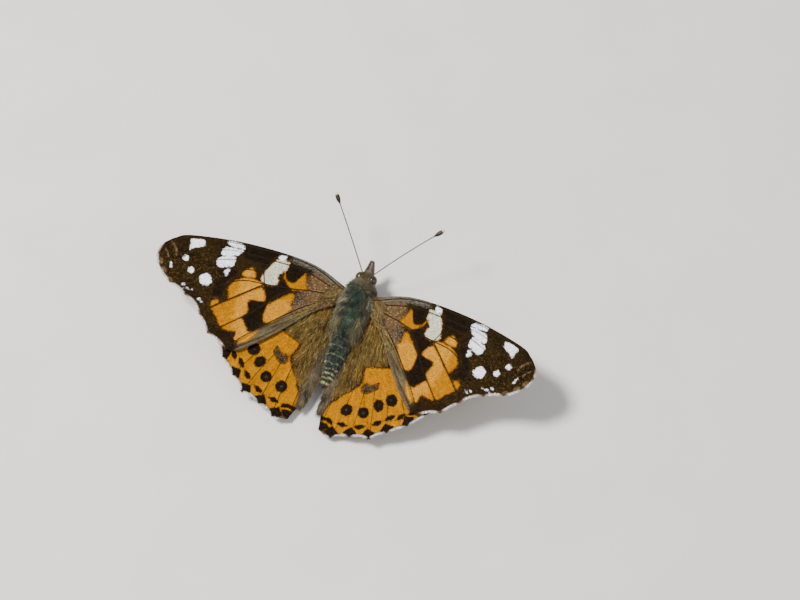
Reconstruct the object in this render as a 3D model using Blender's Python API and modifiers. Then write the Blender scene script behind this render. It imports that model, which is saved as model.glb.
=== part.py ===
"""Painted lady butterfly at life size, standing with its wings spread.

The head faces -Y and +Z is up, so the animal's left side is at +X. The body is tilted a few
degrees head up. Each wing lies in its own plane through the wing root, the right pair raised
more than the left. The insect stands on its middle and hind legs, and the short forelegs are
folded under the head, as in all brush-footed butterflies.
"""

import math

import bmesh
import bpy
import numpy as np
from mathutils import Matrix, Vector
from mathutils.geometry import delaunay_2d_cdt

# Units: metres. MM turns millimetres into metres.
MM = 0.001
GAP = 0.3 * MM

# Stance
THORAX_HEIGHT = 3.75 * MM
BODY_TILT = math.radians(8.0)
LEFT = 1
RIGHT = -1
SIDE_NAMES = {LEFT: "left", RIGHT: "right"}

# Body, measured forward from the middle of the thorax along the body
THORAX_REAR = -4.6 * MM
THORAX_FRONT = 3.7 * MM
THORAX_HALF_WIDTH = 2.4 * MM
THORAX_RISE = 2.45 * MM
THORAX_DEPTH = 2.15 * MM
NECK_RADIUS = 0.95 * MM
WAIST_RADIUS = 1.45 * MM
HEAD_REAR = THORAX_FRONT + GAP
HEAD_FRONT = 6.0 * MM
HEAD_HALF_HEIGHT = 1.2 * MM
HEAD_CORE_HALF_WIDTH = 0.75 * MM
ABDOMEN_FRONT = THORAX_REAR - GAP
ABDOMEN_TIP = -14.8 * MM
ABDOMEN_HALF_WIDTH = 1.75 * MM
ABDOMEN_HALF_HEIGHT = 1.6 * MM
ABDOMEN_SEGMENTS = 7
SEGMENT_STEP = 0.07
BODY_SIDES = 28

# Eyes, palps and coiled tongue
EYE_RADIUS = 0.92 * MM
EYE_BULGE = 0.74 * MM
EYE_FORWARD = 4.95 * MM
EYE_LIFT = 0.1 * MM
PALP_RADIUS = 0.37 * MM
PALP_PATH = [(0.62, 4.9, -0.45), (0.66, 6.3, -0.5), (0.6, 7.1, -0.12), (0.56, 7.75, 0.35), (0.55, 8.05, 0.7)]
PALP_TAPER = [1.0, 1.05, 1.0, 0.8, 0.5]
TONGUE_RADIUS = 0.25 * MM
TONGUE_COIL_RADIUS = 0.68 * MM
TONGUE_COIL_FORWARD = 5.55 * MM
TONGUE_COIL_LIFT = -2.1 * MM

# Antennae, from the crown of the head out to the clubs
ANTENNA_ROOT = (0.42, 5.05, 0.55)
ANTENNA_REACH = {LEFT: (8.1, -9.2, 6.9), RIGHT: (-9.5, -8.9, 6.9)}
ANTENNA_BOW = 0.5 * MM
ANTENNA_SHAFT_RADIUS = 0.25 * MM
CLUB_RADIUS = 0.46 * MM
CLUB_SHARE = 0.13

# Wings, seen flat: u runs outwards from the wing root and v backwards
WING_ROOT_OUT = 2.93 * MM
WING_ROOT_BACK = -2.4 * MM
WING_ROOT_HEIGHT = 4.55 * MM
WING_RAISE = {LEFT: math.radians(6.9), RIGHT: math.radians(11.4)}
WING_DROOP = math.radians(7.3)
WING_ARCH = 0.5 * MM
WING_SPAN = 32.0 * MM
MEMBRANE = 0.5 * MM
VEIN_RISE = 0.12 * MM
VEIN_HALF_WIDTH = 0.3
WING_LEVEL = 0.53 * MM
FOREWING_HINGE = (0.0, 0.0)
FOREWING_SWING = {LEFT: math.radians(1.0), RIGHT: math.radians(-1.0)}
HINDWING_HINGE = (0.5, 3.0)
HINDWING_SWING = {LEFT: math.radians(3.05), RIGHT: math.radians(-3.05)}
EDGE_STEP = 1.3
VEIN_STEP = 1.5

# Outlines in millimetres. A bow is how far the margin bulges out between two vein ends.
FOREWING_COSTA = [(-1.6, 0.6), (0.0, 0.0), (6.2, -1.33), (16.3, -0.35), (25.6, 2.0), (29.5, 5.6)]
FOREWING_VEIN_ENDS = [
    (29.5, 5.6), (29.35, 6.7), (28.35, 8.7), (25.6, 10.8), (22.6, 11.75),
    (19.45, 13.7), (16.9, 16.1), (13.2, 17.25),
]
FOREWING_BOWS = [0.0, 0.1, 0.1, -0.35, -0.55, -0.25, -0.35]
FOREWING_INNER_EDGE = [(13.2, 17.25), (11.0, 16.3), (7.0, 11.75), (3.2, 6.5), (-0.2, 3.1), (-1.4, 2.6)]
HINDWING_COSTA = [(-1.0, 2.2), (1.0, 2.0), (6.4, 3.8), (12.3, 6.8), (16.7, 10.1)]
HINDWING_VEIN_ENDS = [
    (16.7, 10.1), (17.1, 13.0), (15.3, 16.1), (12.85, 18.95), (10.1, 21.0), (7.65, 22.9),
    (4.4, 23.45), (1.65, 24.4), (-0.9, 23.55),
]
HINDWING_BOWS = [0.3, 0.0, -0.2, -0.25, -0.4, -0.5, -0.45, 0.2]
HINDWING_INNER_EDGE = [(-0.9, 23.55), (-1.5, 21.2), (-2.4, 19.2), (-2.6, 15.2), (-2.4, 9.0), (-1.8, 4.5)]

# Main veins in millimetres, each from its root or fork out to the margin
FOREWING_VEINS = {
    "costa": [(-0.6, 0.85), (6.2, -0.95), (16.3, 0.05), (25.2, 2.4), (28.8, 5.2)],
    "radius": [(-0.6, 1.5), (6.3, 0.3), (11.6, 0.75), (18.7, 1.85), (23.9, 4.5), (29.35, 6.7)],
    "cell end": [(11.6, 0.75), (12.5, 2.6), (11.6, 4.9)],
    "median 1": [(12.2, 1.7), (18.0, 3.2), (23.2, 5.9), (28.35, 8.7)],
    "median 2": [(12.5, 2.9), (17.7, 4.8), (21.4, 7.1), (25.6, 10.8)],
    "median 3": [(11.6, 4.9), (15.0, 5.7), (18.0, 7.9), (22.6, 11.75)],
    "cubital stem": [(-0.6, 1.9), (4.25, 2.9), (7.3, 3.85), (11.6, 4.9)],
    "cubital 1": [(11.6, 4.9), (13.9, 7.4), (17.9, 11.75), (19.45, 13.7)],
    "cubital 2": [(7.3, 3.85), (9.0, 5.9), (11.7, 10.0), (15.5, 14.4), (16.9, 16.1)],
    "anal": [(-0.6, 2.2), (4.1, 5.5), (8.8, 10.8), (12.0, 15.0), (13.2, 17.25)],
}
HINDWING_VEINS = {
    "shoulder": [(-0.6, 2.9), (2.5, 3.7), (9.5, 7.2), (17.1, 13.0)],
    "median stem": [(-0.6, 3.3), (2.6, 5.4), (6.2, 9.3)],
    "radial": [(2.6, 5.4), (8.5, 9.8), (15.3, 16.1)],
    "median 1": [(6.2, 9.3), (9.4, 13.9), (12.85, 18.95)],
    "cell end": [(6.2, 9.3), (5.4, 10.7), (4.2, 11.6)],
    "median 2": [(5.4, 10.7), (7.8, 15.4), (10.1, 21.0)],
    "median 3": [(4.2, 11.6), (6.0, 16.8), (7.65, 22.9)],
    "cubital stem": [(-0.6, 3.7), (1.5, 6.4), (2.7, 9.4), (4.2, 11.6)],
    "cubital 1": [(2.7, 9.4), (3.9, 16.0), (4.4, 23.45)],
    "cubital 2": [(1.5, 6.4), (2.0, 14.5), (1.65, 24.4)],
    "anal": [(-0.6, 4.1), (0.0, 8.0), (-0.4, 15.5), (-0.9, 23.55)],
}

# Legs in millimetres: out from the middle, back from the middle of the thorax, up from the floor
MIDDLE_LEG = [(0.8, -0.6, 2.4), (2.1, -0.8, 1.35), (2.9, -1.0, 1.25), (5.6, -1.9, 2.25), (6.2, -2.1, 2.05),
              (8.1, -3.0, 0.5), (8.7, -3.3, 0.21), (9.6, -3.8, 0.2), (11.0, -4.7, 0.2)]
HIND_LEG = [(0.8, 2.2, 2.2), (1.9, 2.7, 1.35), (2.4, 3.2, 1.25), (4.4, 6.9, 2.0), (4.7, 7.5, 1.85),
            (5.7, 10.0, 0.5), (5.9, 10.6, 0.21), (6.2, 11.6, 0.2), (6.7, 13.2, 0.2)]
LEG_RADII = [0.36, 0.36, 0.34, 0.32, 0.3, 0.28, 0.3, 0.3, 0.3]
FORELEG = [(0.8, 2.5, -0.9), (1.15, 3.3, -1.75), (1.25, 4.3, -2.0), (1.15, 5.4, -1.75)]
FORELEG_RADII = [0.3, 0.32, 0.32, 0.26]

COLOURS = {
    "thorax": (0.09, 0.105, 0.085),
    "head": (0.10, 0.085, 0.06),
    "abdomen": (0.03, 0.035, 0.035),
    "eye": (0.035, 0.02, 0.012),
    "palp": (0.30, 0.24, 0.17),
    "tongue": (0.05, 0.03, 0.015),
    "antenna": (0.05, 0.035, 0.025),
    "wing": (0.72, 0.27, 0.02),
    "leg": (0.33, 0.26, 0.17),
}


def clear_scene():
    for old in list(bpy.data.objects):
        bpy.data.objects.remove(old, do_unlink=True)


def new_collection(name):
    collection = bpy.data.collections.new(name)
    bpy.context.scene.collection.children.link(collection)
    return collection


clear_scene()
PARTS = new_collection("painted_lady_butterfly")
CUTTERS = new_collection("cutters")


def principled(name, colour, roughness=0.6, metallic=0.0):
    material = bpy.data.materials.new(name)
    material.use_nodes = True
    shader = material.node_tree.nodes["Principled BSDF"]
    shader.inputs["Base Color"].default_value = (*colour, 1.0)
    shader.inputs["Roughness"].default_value = roughness
    shader.inputs["Metallic"].default_value = metallic
    return material


def add_empty(name, location, rotation=(0.0, 0.0, 0.0), parent=None):
    empty = bpy.data.objects.new(name, None)
    PARTS.objects.link(empty)
    empty.parent = parent
    empty.location = location
    empty.rotation_euler = rotation
    return empty


def add_object(name, mesh, parent, colour, roughness=0.6):
    obj = bpy.data.objects.new(name, mesh)
    PARTS.objects.link(obj)
    obj.parent = parent
    mesh.materials.clear()
    mesh.materials.append(principled(name, COLOURS[colour], roughness))
    mesh.shade_smooth()
    mesh.set_sharp_from_angle(angle=math.radians(40.0))
    return obj


def evaluated_copy(obj):
    """The mesh that an object's curve and modifiers make, in the object's own frame."""
    bpy.context.view_layer.update()
    depsgraph = bpy.context.evaluated_depsgraph_get()
    return bpy.data.meshes.new_from_object(obj.evaluated_get(depsgraph))


def keep_largest(mesh):
    """Drop every loose scrap but the closed surface with the most faces."""
    shape = bmesh.new()
    shape.from_mesh(mesh)
    unseen = set(shape.verts)
    islands = []
    while unseen:
        front = [unseen.pop()]
        island = set(front)
        while front:
            vertex = front.pop()
            for edge in vertex.link_edges:
                other = edge.other_vert(vertex)
                if other in unseen:
                    unseen.discard(other)
                    island.add(other)
                    front.append(other)
        islands.append(island)
    largest = max(islands, key=len)
    scraps = [vertex for vertex in shape.verts if vertex not in largest]
    bmesh.ops.delete(shape, geom=scraps, context="VERTS")
    shape.to_mesh(mesh)
    shape.free()


def trim_clear(obj, cutters, solver="EXACT"):
    """Cut an object's root back to a gap clear of the body, whose grown copies are the cutters."""
    for cutter in cutters:
        trim = obj.modifiers.new("clear of " + cutter.name, "BOOLEAN")
        trim.operation = "DIFFERENCE"
        trim.solver = solver
        trim.object = cutter
    mesh = evaluated_copy(obj)
    obj.modifiers.clear()
    obj.data = mesh
    keep_largest(mesh)


def smooth_path(points, step):
    """Points about a step apart on a smooth curve that passes through every given point."""
    points = np.asarray(points, float)
    lengths = np.linalg.norm(np.diff(points, axis=0), axis=1)
    knots = np.concatenate([[0.0], np.cumsum(lengths)])
    tangents = np.gradient(points, knots, axis=0)
    path = [points[0]]
    for i, length in enumerate(lengths):
        pieces = max(1, round(length / step))
        for t in np.arange(1, pieces + 1) / pieces:
            path.append((2 * t**3 - 3 * t**2 + 1) * points[i] + (3 * t**2 - 2 * t**3) * points[i + 1]
                        + length * (t**3 - 2 * t**2 + t) * tangents[i]
                        + length * (t**3 - t**2) * tangents[i + 1])
    return np.array(path)


def scalloped(ends, bows, pieces=4):
    """Wing margin from one vein end to the next, each stretch bowed out or in as a parabola."""
    path = [np.array(ends[0], float)]
    for start, end, bow in zip(ends[:-1], ends[1:], bows):
        start, end = np.array(start), np.array(end)
        along = end - start
        outwards = np.array([-along[1], along[0]]) / np.hypot(*along) * -1.0
        for t in np.arange(1, pieces + 1) / pieces:
            path.append(start + along * t + outwards * bow * 4.0 * t * (1.0 - t))
    return np.array(path)


def swell(t, end, middle):
    """A rounded swelling from a flat end of one radius to the middle: t runs from -1 to 1."""
    return end + (middle - end) * math.sqrt(max(0.0, 1.0 - t * t))


def loft(rings, name):
    """Closed surface over rings of equal count, listed from the rear to the front."""
    shape = bmesh.new()
    rows = [[shape.verts.new(point) for point in ring] for ring in rings]
    count = len(rows[0])
    for row, following in zip(rows[:-1], rows[1:]):
        for i in range(count):
            j = (i + 1) % count
            shape.faces.new((row[i], row[j], following[j], following[i]))
    for row in (rows[0], rows[-1]):
        shape.faces.new(row)
    bmesh.ops.recalc_face_normals(shape, faces=shape.faces)
    mesh = bpy.data.meshes.new(name)
    shape.to_mesh(mesh)
    shape.free()
    return mesh


def body_ring(forward, half_width, rise, depth, widest=None):
    """One cross-section of the body: rise above the axis, depth below it, sides cut at widest."""
    ring = []
    for i in range(BODY_SIDES):
        angle = 2.0 * math.pi * (i + 0.5) / BODY_SIDES
        x = half_width * math.cos(angle)
        if widest is not None:
            x = max(-widest, min(widest, x))
        z = (rise if math.sin(angle) > 0.0 else depth) * math.sin(angle)
        ring.append((x, -forward, z))
    return ring


def thorax_mesh(name, grow=0.0):
    """Egg-shaped thorax, flat where it meets the head and the abdomen, or a copy grown all round."""
    rings = []
    rear, front = THORAX_REAR - grow, THORAX_FRONT + grow
    for i in range(17):
        t = -math.cos(math.pi * i / 16)
        forward = rear + (front - rear) * (t + 1.0) / 2.0
        end = WAIST_RADIUS + (NECK_RADIUS - WAIST_RADIUS) * (t + 1.0) / 2.0
        half_width, rise, depth = (swell(t, end, r) + grow for r in
                                   (THORAX_HALF_WIDTH, THORAX_RISE, THORAX_DEPTH))
        rings.append(body_ring(forward, half_width, rise, depth))
    return loft(rings, name)


def head_mesh(name, grow=0.0):
    """Short head, flat at the neck and at the sides where the eyes sit, rounded in front."""
    rings = []
    rear, front = HEAD_REAR - grow, HEAD_FRONT + grow
    for i in range(12):
        t = -math.cos(math.pi * i / 12)
        forward = rear + (front - rear) * (t + 1.0) / 2.0
        end = NECK_RADIUS * (1.0 - t) / 2.0
        height = swell(t, end, HEAD_HALF_HEIGHT) + grow
        rings.append(body_ring(forward, height, height, height, HEAD_CORE_HALF_WIDTH + grow))
    return loft(rings, name)


def abdomen_mesh(name, grow=0.0):
    """Tapering abdomen of overlapping segments, each a little wider at its rear edge."""
    rings = []
    front, tip = ABDOMEN_FRONT + grow, ABDOMEN_TIP - grow
    steps = 4 * ABDOMEN_SEGMENTS
    for i in range(steps + 1):
        a = i / steps
        taper = 1.0 - 0.78 * a**2.7
        fullness = 0.84 + 0.16 * math.sin(math.pi * min(1.0, a / 0.7))
        ripple = 1.0 + SEGMENT_STEP * ((i % 4) / 3.0 - 0.5)
        share = taper * fullness * ripple
        half_width = ABDOMEN_HALF_WIDTH * share + grow
        half_height = ABDOMEN_HALF_HEIGHT * share + grow
        rings.append(body_ring(front + (tip - front) * a, half_width, half_height, half_height))
    return loft(rings[::-1], name)


def add_cutter(name, mesh, parent):
    cutter = bpy.data.objects.new(name, mesh)
    CUTTERS.objects.link(cutter)
    cutter.parent = parent
    cutter.hide_render = True
    cutter.display_type = "WIRE"
    return cutter


def tube_mesh(name, path, radii):
    """A round tube with closed ends along a path, its radius set at each point."""
    curve = bpy.data.curves.new(name, "CURVE")
    curve.dimensions = "3D"
    curve.bevel_depth = 1.0
    curve.bevel_resolution = 2
    curve.use_fill_caps = True
    spline = curve.splines.new("POLY")
    spline.points.add(len(path) - 1)
    for point, position, radius in zip(spline.points, path, radii):
        point.co = (*position, 1.0)
        point.radius = radius
    guide = bpy.data.objects.new(name + "_guide", curve)
    CUTTERS.objects.link(guide)
    mesh = evaluated_copy(guide)
    bpy.data.objects.remove(guide)
    shape = bmesh.new()
    shape.from_mesh(mesh)
    bmesh.ops.remove_doubles(shape, verts=shape.verts, dist=0.005 * MM)
    bmesh.ops.recalc_face_normals(shape, faces=shape.faces)
    shape.to_mesh(mesh)
    shape.free()
    return mesh


def add_eye(side, body):
    """Domed compound eye, its flat back facing the flat side of the head."""
    sides, rows = 20, 8
    profile = bmesh.new()
    centre = profile.verts.new((0.0, 0.0, 0.0))
    points = [profile.verts.new((EYE_RADIUS * math.sin(math.pi / 2 * i / rows), 0.0,
                                 EYE_BULGE * math.cos(math.pi / 2 * i / rows))) for i in range(rows + 1)]
    for start, end in zip(points, points[1:] + [centre]):
        profile.edges.new((start, end))
    name = "eye_" + SIDE_NAMES[side]
    mesh = bpy.data.meshes.new(name)
    profile.to_mesh(mesh)
    profile.free()
    eye = add_object(name, mesh, body, "eye", 0.2)
    screw = eye.modifiers.new("turn", "SCREW")
    screw.steps = screw.render_steps = sides
    screw.use_merge_vertices = True
    screw.merge_threshold = 0.0001 * MM
    eye.location = (side * (HEAD_CORE_HALF_WIDTH + GAP), -EYE_FORWARD, EYE_LIFT)
    eye.rotation_euler = (0.0, side * math.pi / 2, 0.0)
    return eye


def body_points(points, side):
    """Points out, forward and up in millimetres, turned into the body's frame on one side."""
    return [(side * out * MM, -forward * MM, up * MM) for out, forward, up in points]


def add_palp(side, body, head_cutter):
    name = "palp_" + SIDE_NAMES[side]
    radii = [PALP_RADIUS * share for share in PALP_TAPER]
    palp = add_object(name, tube_mesh(name, body_points(PALP_PATH, side), radii), body, "palp")
    trim_clear(palp, [head_cutter])


def add_tongue(body, head_cutter):
    """The tongue curled under the face: down from the mouth and round one turn, like a watch spring."""
    path = []
    for i in range(12):
        angle = math.radians(48.0 - 23.0 * i)
        radius = TONGUE_COIL_RADIUS * (1.0 - i / 45.0)
        path.append((0.0, -TONGUE_COIL_FORWARD - radius * math.cos(angle),
                     TONGUE_COIL_LIFT + radius * math.sin(angle)))
    root = (0.0, -TONGUE_COIL_FORWARD + 0.7 * MM, -0.7 * MM)
    path.insert(0, root)
    radii = [TONGUE_RADIUS] * len(path)
    tongue = add_object("tongue", tube_mesh("tongue", path, radii), body, "tongue", 0.35)
    trim_clear(tongue, [head_cutter])


def add_antenna(side, stance, body, head_cutter):
    """Thin feeler with a club at its end, bowed a little upwards along its length."""
    name = "antenna_" + SIDE_NAMES[side]
    root = body.matrix_basis @ Vector(body_points([ANTENNA_ROOT], side)[0])
    reach = Vector(ANTENNA_REACH[side]) * MM
    path = []
    radii = []
    steps = 14
    for i in range(steps + 1):
        t = i / steps
        bow = ANTENNA_BOW * math.sin(math.pi * t)
        path.append(root + reach * t + Vector((0.0, 0.0, bow)))
        into_club = max(0.0, (t - 1.0 + 1.5 * CLUB_SHARE) / (1.5 * CLUB_SHARE))
        swollen = math.sin(math.pi * min(1.0, into_club * 0.78))
        radii.append(ANTENNA_SHAFT_RADIUS + (CLUB_RADIUS - ANTENNA_SHAFT_RADIUS) * swollen)
    radii[-1] = 0.6 * CLUB_RADIUS
    antenna = add_object(name, tube_mesh(name, path, radii), stance, "antenna")
    trim_clear(antenna, [head_cutter])


def add_leg(name, side, points, stance, cutters):
    """Walking leg: hip, thigh, shin and a foot whose sole is flat on the floor."""
    path = [(side * out * MM, back * MM, up * MM) for out, back, up in points]
    radii = [radius * MM for radius in LEG_RADII]
    mesh = tube_mesh(name, path, radii)
    for vertex in mesh.vertices:
        vertex.co.z = max(0.0, vertex.co.z)
    leg = add_object(name, mesh, stance, "leg")
    trim_clear(leg, cutters)


def add_foreleg(side, body, cutters):
    name = "foreleg_" + SIDE_NAMES[side]
    radii = [radius * MM for radius in FORELEG_RADII]
    foreleg = add_object(name, tube_mesh(name, body_points(FORELEG, side), radii), body, "leg")
    trim_clear(foreleg, cutters)


def inside(outline, point):
    """True where a point lies inside a closed outline."""
    x, y = point
    following = np.roll(outline, -1, axis=0)
    crosses = (outline[:, 1] > y) != (following[:, 1] > y)
    rise = following[:, 1] - outline[:, 1]
    rise[rise == 0.0] = 1.0
    at = outline[:, 0] + (y - outline[:, 1]) * (following[:, 0] - outline[:, 0]) / rise
    return np.count_nonzero(crosses & (x < at)) % 2 == 1


def wing_outline(costa, vein_ends, bows, inner_edge):
    """Closed outline of a wing in millimetres: leading edge, scalloped margin, inner edge."""
    return np.concatenate([
        smooth_path(costa, EDGE_STEP)[:-1],
        scalloped(vein_ends, bows)[:-1],
        smooth_path(inner_edge, EDGE_STEP),
    ])


def distance_to(path, point):
    """Distance from a point to the nearest stretch of a path."""
    start, along = path[:-1], np.diff(path, axis=0)
    share = ((point - start) * along).sum(axis=1) / (along**2).sum(axis=1)
    nearest = start + along * np.clip(share, 0.0, 1.0)[:, None]
    return np.linalg.norm(nearest - point, axis=1).min()


def fill_points(outline, veins, spacing=2.4, margin=0.9):
    """A staggered grid of points inside an outline, a margin clear of its edge and of the veins."""
    edge = np.concatenate([outline, outline[:1]])
    low, high = outline.min(axis=0), outline.max(axis=0)
    points = []
    for row, v in enumerate(np.arange(low[1], high[1], spacing * 0.87)):
        for u in np.arange(low[0] + (row % 2) * spacing / 2.0, high[0], spacing):
            clear = min(distance_to(path, (u, v)) for path in [edge, *veins])
            if clear > margin and inside(outline, (u, v)):
                points.append((u, v))
    return points


def vein_lines(outline, veins):
    """Each vein's crest and the two feet of its ridge, as points and the edges that join them."""
    edge = np.concatenate([outline, outline[:1]])
    points = []
    edges = []
    for vein in veins:
        along = np.gradient(vein, axis=0)
        sideways = np.stack([-along[:, 1], along[:, 0]], axis=1) / np.linalg.norm(along, axis=1)[:, None]
        others = [path for path in veins if path is not vein]
        for offset in (0.0, VEIN_HALF_WIDTH, -VEIN_HALF_WIDTH):
            previous = None
            for point in vein + sideways * offset:
                near_vein = min(distance_to(path, point) for path in others) < VEIN_HALF_WIDTH
                near_edge = distance_to(edge, point) < VEIN_HALF_WIDTH or not inside(outline, point)
                if offset != 0.0 and (near_vein or near_edge):
                    previous = None
                    continue
                points.append(tuple(point))
                if previous is not None:
                    edges.append((previous, len(points) - 1))
                previous = len(points) - 1
    return points, edges


def swung(points, hinge, angle):
    """Points turned about the hinge in the plane of the wing, outwards where the angle is positive."""
    points = np.asarray(points, float) - hinge
    turn = np.array([[math.cos(angle), -math.sin(angle)], [math.sin(angle), math.cos(angle)]])
    return points @ turn + hinge


def arch(u, v):
    """Height of the gentle arch of both wings, highest half way out and dying away at the rear."""
    share = np.clip(u * MM / WING_SPAN, 0.0, 1.0)
    return WING_ARCH * np.sin(np.pi * share) * np.clip(1.0 - v / 30.0, 0.0, 1.0)


def wing_triangles(outline, veins):
    """Flat points and triangles of a wing, with an edge along every vein's crest and feet."""
    ridge_points, ridge_edges = vein_lines(outline, veins)
    rim = [(i, (i + 1) % len(outline)) for i in range(len(outline))]
    lines = [(a + len(outline), b + len(outline)) for a, b in ridge_edges]
    fill = [tuple(point) for point in outline] + ridge_points + fill_points(outline, veins)
    points, _, triangles, _, _, _ = delaunay_2d_cdt([Vector(p) for p in fill], rim + lines, [], 0, 0.02)
    return points, [t for t in triangles if inside(outline, sum((points[i] for i in t), Vector((0, 0))) / 3)]


def add_wing(name, side, outline, veins, level, hinge, cutters):
    """A wing plate on both sides of its arched middle surface, split into triangles alike.

    The veins are ridges raised in the plate's own faces: it is thickest along their crests.
    """
    points, triangles = wing_triangles(outline, veins)
    shape = bmesh.new()
    verts = [shape.verts.new((side * p.x * MM, p.y * MM, level + arch(p.x, p.y))) for p in points]
    for triangle in triangles:
        shape.faces.new([verts[i] for i in triangle])
    shape.normal_update()
    bmesh.ops.reverse_faces(shape, faces=[face for face in shape.faces if face.normal.z < 0.0])
    bmesh.ops.delete(shape, geom=[vertex for vertex in verts if not vertex.link_faces], context="VERTS")
    mesh = bpy.data.meshes.new(name)
    shape.to_mesh(mesh)
    shape.free()
    wing = add_object(name, mesh, hinge, "wing")
    thickness = wing.vertex_groups.new(name="thickness")
    thickest = MEMBRANE + 2.0 * VEIN_RISE
    for vertex in mesh.vertices:
        point = (side * vertex.co.x / MM, vertex.co.y / MM)
        to_crest = min(distance_to(path, point) for path in veins)
        rise = VEIN_RISE * max(0.0, 1.0 - to_crest / VEIN_HALF_WIDTH)
        thickness.add([vertex.index], (MEMBRANE + 2.0 * rise) / thickest, "REPLACE")
    plate = wing.modifiers.new("membrane", "SOLIDIFY")
    plate.thickness = thickest
    plate.offset = 0.0
    plate.vertex_group = "thickness"
    trim_clear(wing, cutters, "MANIFOLD")


def add_wings(side, stance, cutters):
    """Forewing and hindwing of one side, in the plane that is raised outwards and droops to the rear."""
    hinge = add_empty("wing_hinge_" + SIDE_NAMES[side],
                      (side * WING_ROOT_OUT, WING_ROOT_BACK, WING_ROOT_HEIGHT),
                      (-WING_DROOP, -side * WING_RAISE[side], 0.0), stance)
    forewing = wing_outline(FOREWING_COSTA, FOREWING_VEIN_ENDS, FOREWING_BOWS, FOREWING_INNER_EDGE)
    hindwing = wing_outline(HINDWING_COSTA, HINDWING_VEIN_ENDS, HINDWING_BOWS, HINDWING_INNER_EDGE)
    wings = [("forewing_", forewing, FOREWING_VEINS, WING_LEVEL, FOREWING_HINGE, FOREWING_SWING),
             ("hindwing_", hindwing, HINDWING_VEINS, -WING_LEVEL, HINDWING_HINGE, HINDWING_SWING)]
    for name, outline, veins, level, centre, swing in wings:
        outline = swung(outline, centre, swing[side])
        paths = [swung(smooth_path(vein, VEIN_STEP), centre, swing[side]) for vein in veins.values()]
        add_wing(name + SIDE_NAMES[side], side, outline, paths, level, hinge, cutters)


def rest_on_origin(stance):
    """Move the whole insect so that the origin is under the middle of its bounding box."""
    bpy.context.view_layer.update()
    corners = []
    for obj in PARTS.objects:
        if obj.type == "MESH":
            mesh = evaluated_copy(obj)
            corners += [obj.matrix_world @ vertex.co for vertex in mesh.vertices]
            bpy.data.meshes.remove(mesh)
    corners = np.array(corners)
    low, high = corners.min(axis=0), corners.max(axis=0)
    stance.location = (-(low[0] + high[0]) / 2.0, -(low[1] + high[1]) / 2.0, -low[2])


def build():
    stance = add_empty("butterfly", (0.0, 0.0, 0.0))
    body = add_empty("body_axis", (0.0, 0.0, THORAX_HEIGHT), (-BODY_TILT, 0.0, 0.0), stance)
    add_object("thorax", thorax_mesh("thorax"), body, "thorax", 0.8)
    add_object("head", head_mesh("head"), body, "head", 0.8)
    add_object("abdomen", abdomen_mesh("abdomen"), body, "abdomen", 0.7)
    head_cutter = add_cutter("head_clearance", head_mesh("head_clearance", GAP), body)
    thorax_cutter = add_cutter("thorax_clearance", thorax_mesh("thorax_clearance", GAP), body)
    abdomen_cutter = add_cutter("abdomen_clearance", abdomen_mesh("abdomen_clearance", GAP), body)
    add_tongue(body, head_cutter)
    for side in (LEFT, RIGHT):
        add_eye(side, body)
        add_palp(side, body, head_cutter)
        add_antenna(side, stance, body, head_cutter)
        add_foreleg(side, body, [thorax_cutter])
        add_leg("midleg_" + SIDE_NAMES[side], side, MIDDLE_LEG, stance, [thorax_cutter])
        add_leg("hindleg_" + SIDE_NAMES[side], side, HIND_LEG, stance, [thorax_cutter, abdomen_cutter])
        add_wings(side, stance, [thorax_cutter, abdomen_cutter])
    rest_on_origin(stance)


build()
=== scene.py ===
# %% [markdown]
# A painted lady is a brush-footed butterfly, about six centimetres across its spread wings. This one rests
# with all four wings open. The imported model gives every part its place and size; this file gives each part
# its real surface: wings covered in scales, a furry body, faceted eyes, ringed feelers and thin legs.

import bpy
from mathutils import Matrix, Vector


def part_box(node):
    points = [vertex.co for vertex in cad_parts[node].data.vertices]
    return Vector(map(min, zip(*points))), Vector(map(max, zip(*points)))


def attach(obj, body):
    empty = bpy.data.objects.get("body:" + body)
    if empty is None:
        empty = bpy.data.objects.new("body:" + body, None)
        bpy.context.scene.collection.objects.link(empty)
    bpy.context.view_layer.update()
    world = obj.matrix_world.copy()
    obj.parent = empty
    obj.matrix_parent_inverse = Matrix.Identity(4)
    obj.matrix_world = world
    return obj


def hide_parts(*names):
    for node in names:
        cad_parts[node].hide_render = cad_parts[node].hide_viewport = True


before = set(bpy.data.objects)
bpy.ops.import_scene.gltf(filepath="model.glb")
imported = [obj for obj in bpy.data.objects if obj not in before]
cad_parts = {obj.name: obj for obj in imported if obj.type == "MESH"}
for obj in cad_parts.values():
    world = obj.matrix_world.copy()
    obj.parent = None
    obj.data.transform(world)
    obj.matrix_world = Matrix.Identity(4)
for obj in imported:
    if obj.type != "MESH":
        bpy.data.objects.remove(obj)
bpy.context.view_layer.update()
print("parts in the frame:", ", ".join(sorted(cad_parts)))

# %% [markdown]
# Everything below is worked out in millimetres, because a butterfly is small, and turned into metres only
# when a mesh is made. The body has its own axes, pitched up a little, and each wing lies in a plane of its
# own that is raised outwards and droops to the rear. Two functions carry points from those easy axes into
# the frame, so that a wing can be drawn flat, as on paper, and still land where the model has it.

# %% Places in the body and in the wings
import bpy
import numpy as np

MM = 0.001
FRONT_TO_MIDDLE = 3.80
thorax_low, thorax_high = (np.array(corner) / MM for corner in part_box("thorax"))
STANCE = np.array([(thorax_low[0] + thorax_high[0]) / 2.0, thorax_low[1] + FRONT_TO_MIDDLE, 0.0])
BODY_HEIGHT = 3.75
BODY_TILT = np.radians(8.0)
WING_ROOT = np.array([2.93, -2.4, 4.55])
WING_RAISE = {1: np.radians(6.9), -1: np.radians(11.4)}
WING_DROOP = np.radians(7.3)
ARCH_HEIGHT, ARCH_SPAN, ARCH_DEPTH = 0.5, 32.0, 30.0
SIDES = {1: "left", -1: "right"}
rng = np.random.default_rng(11)


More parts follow.
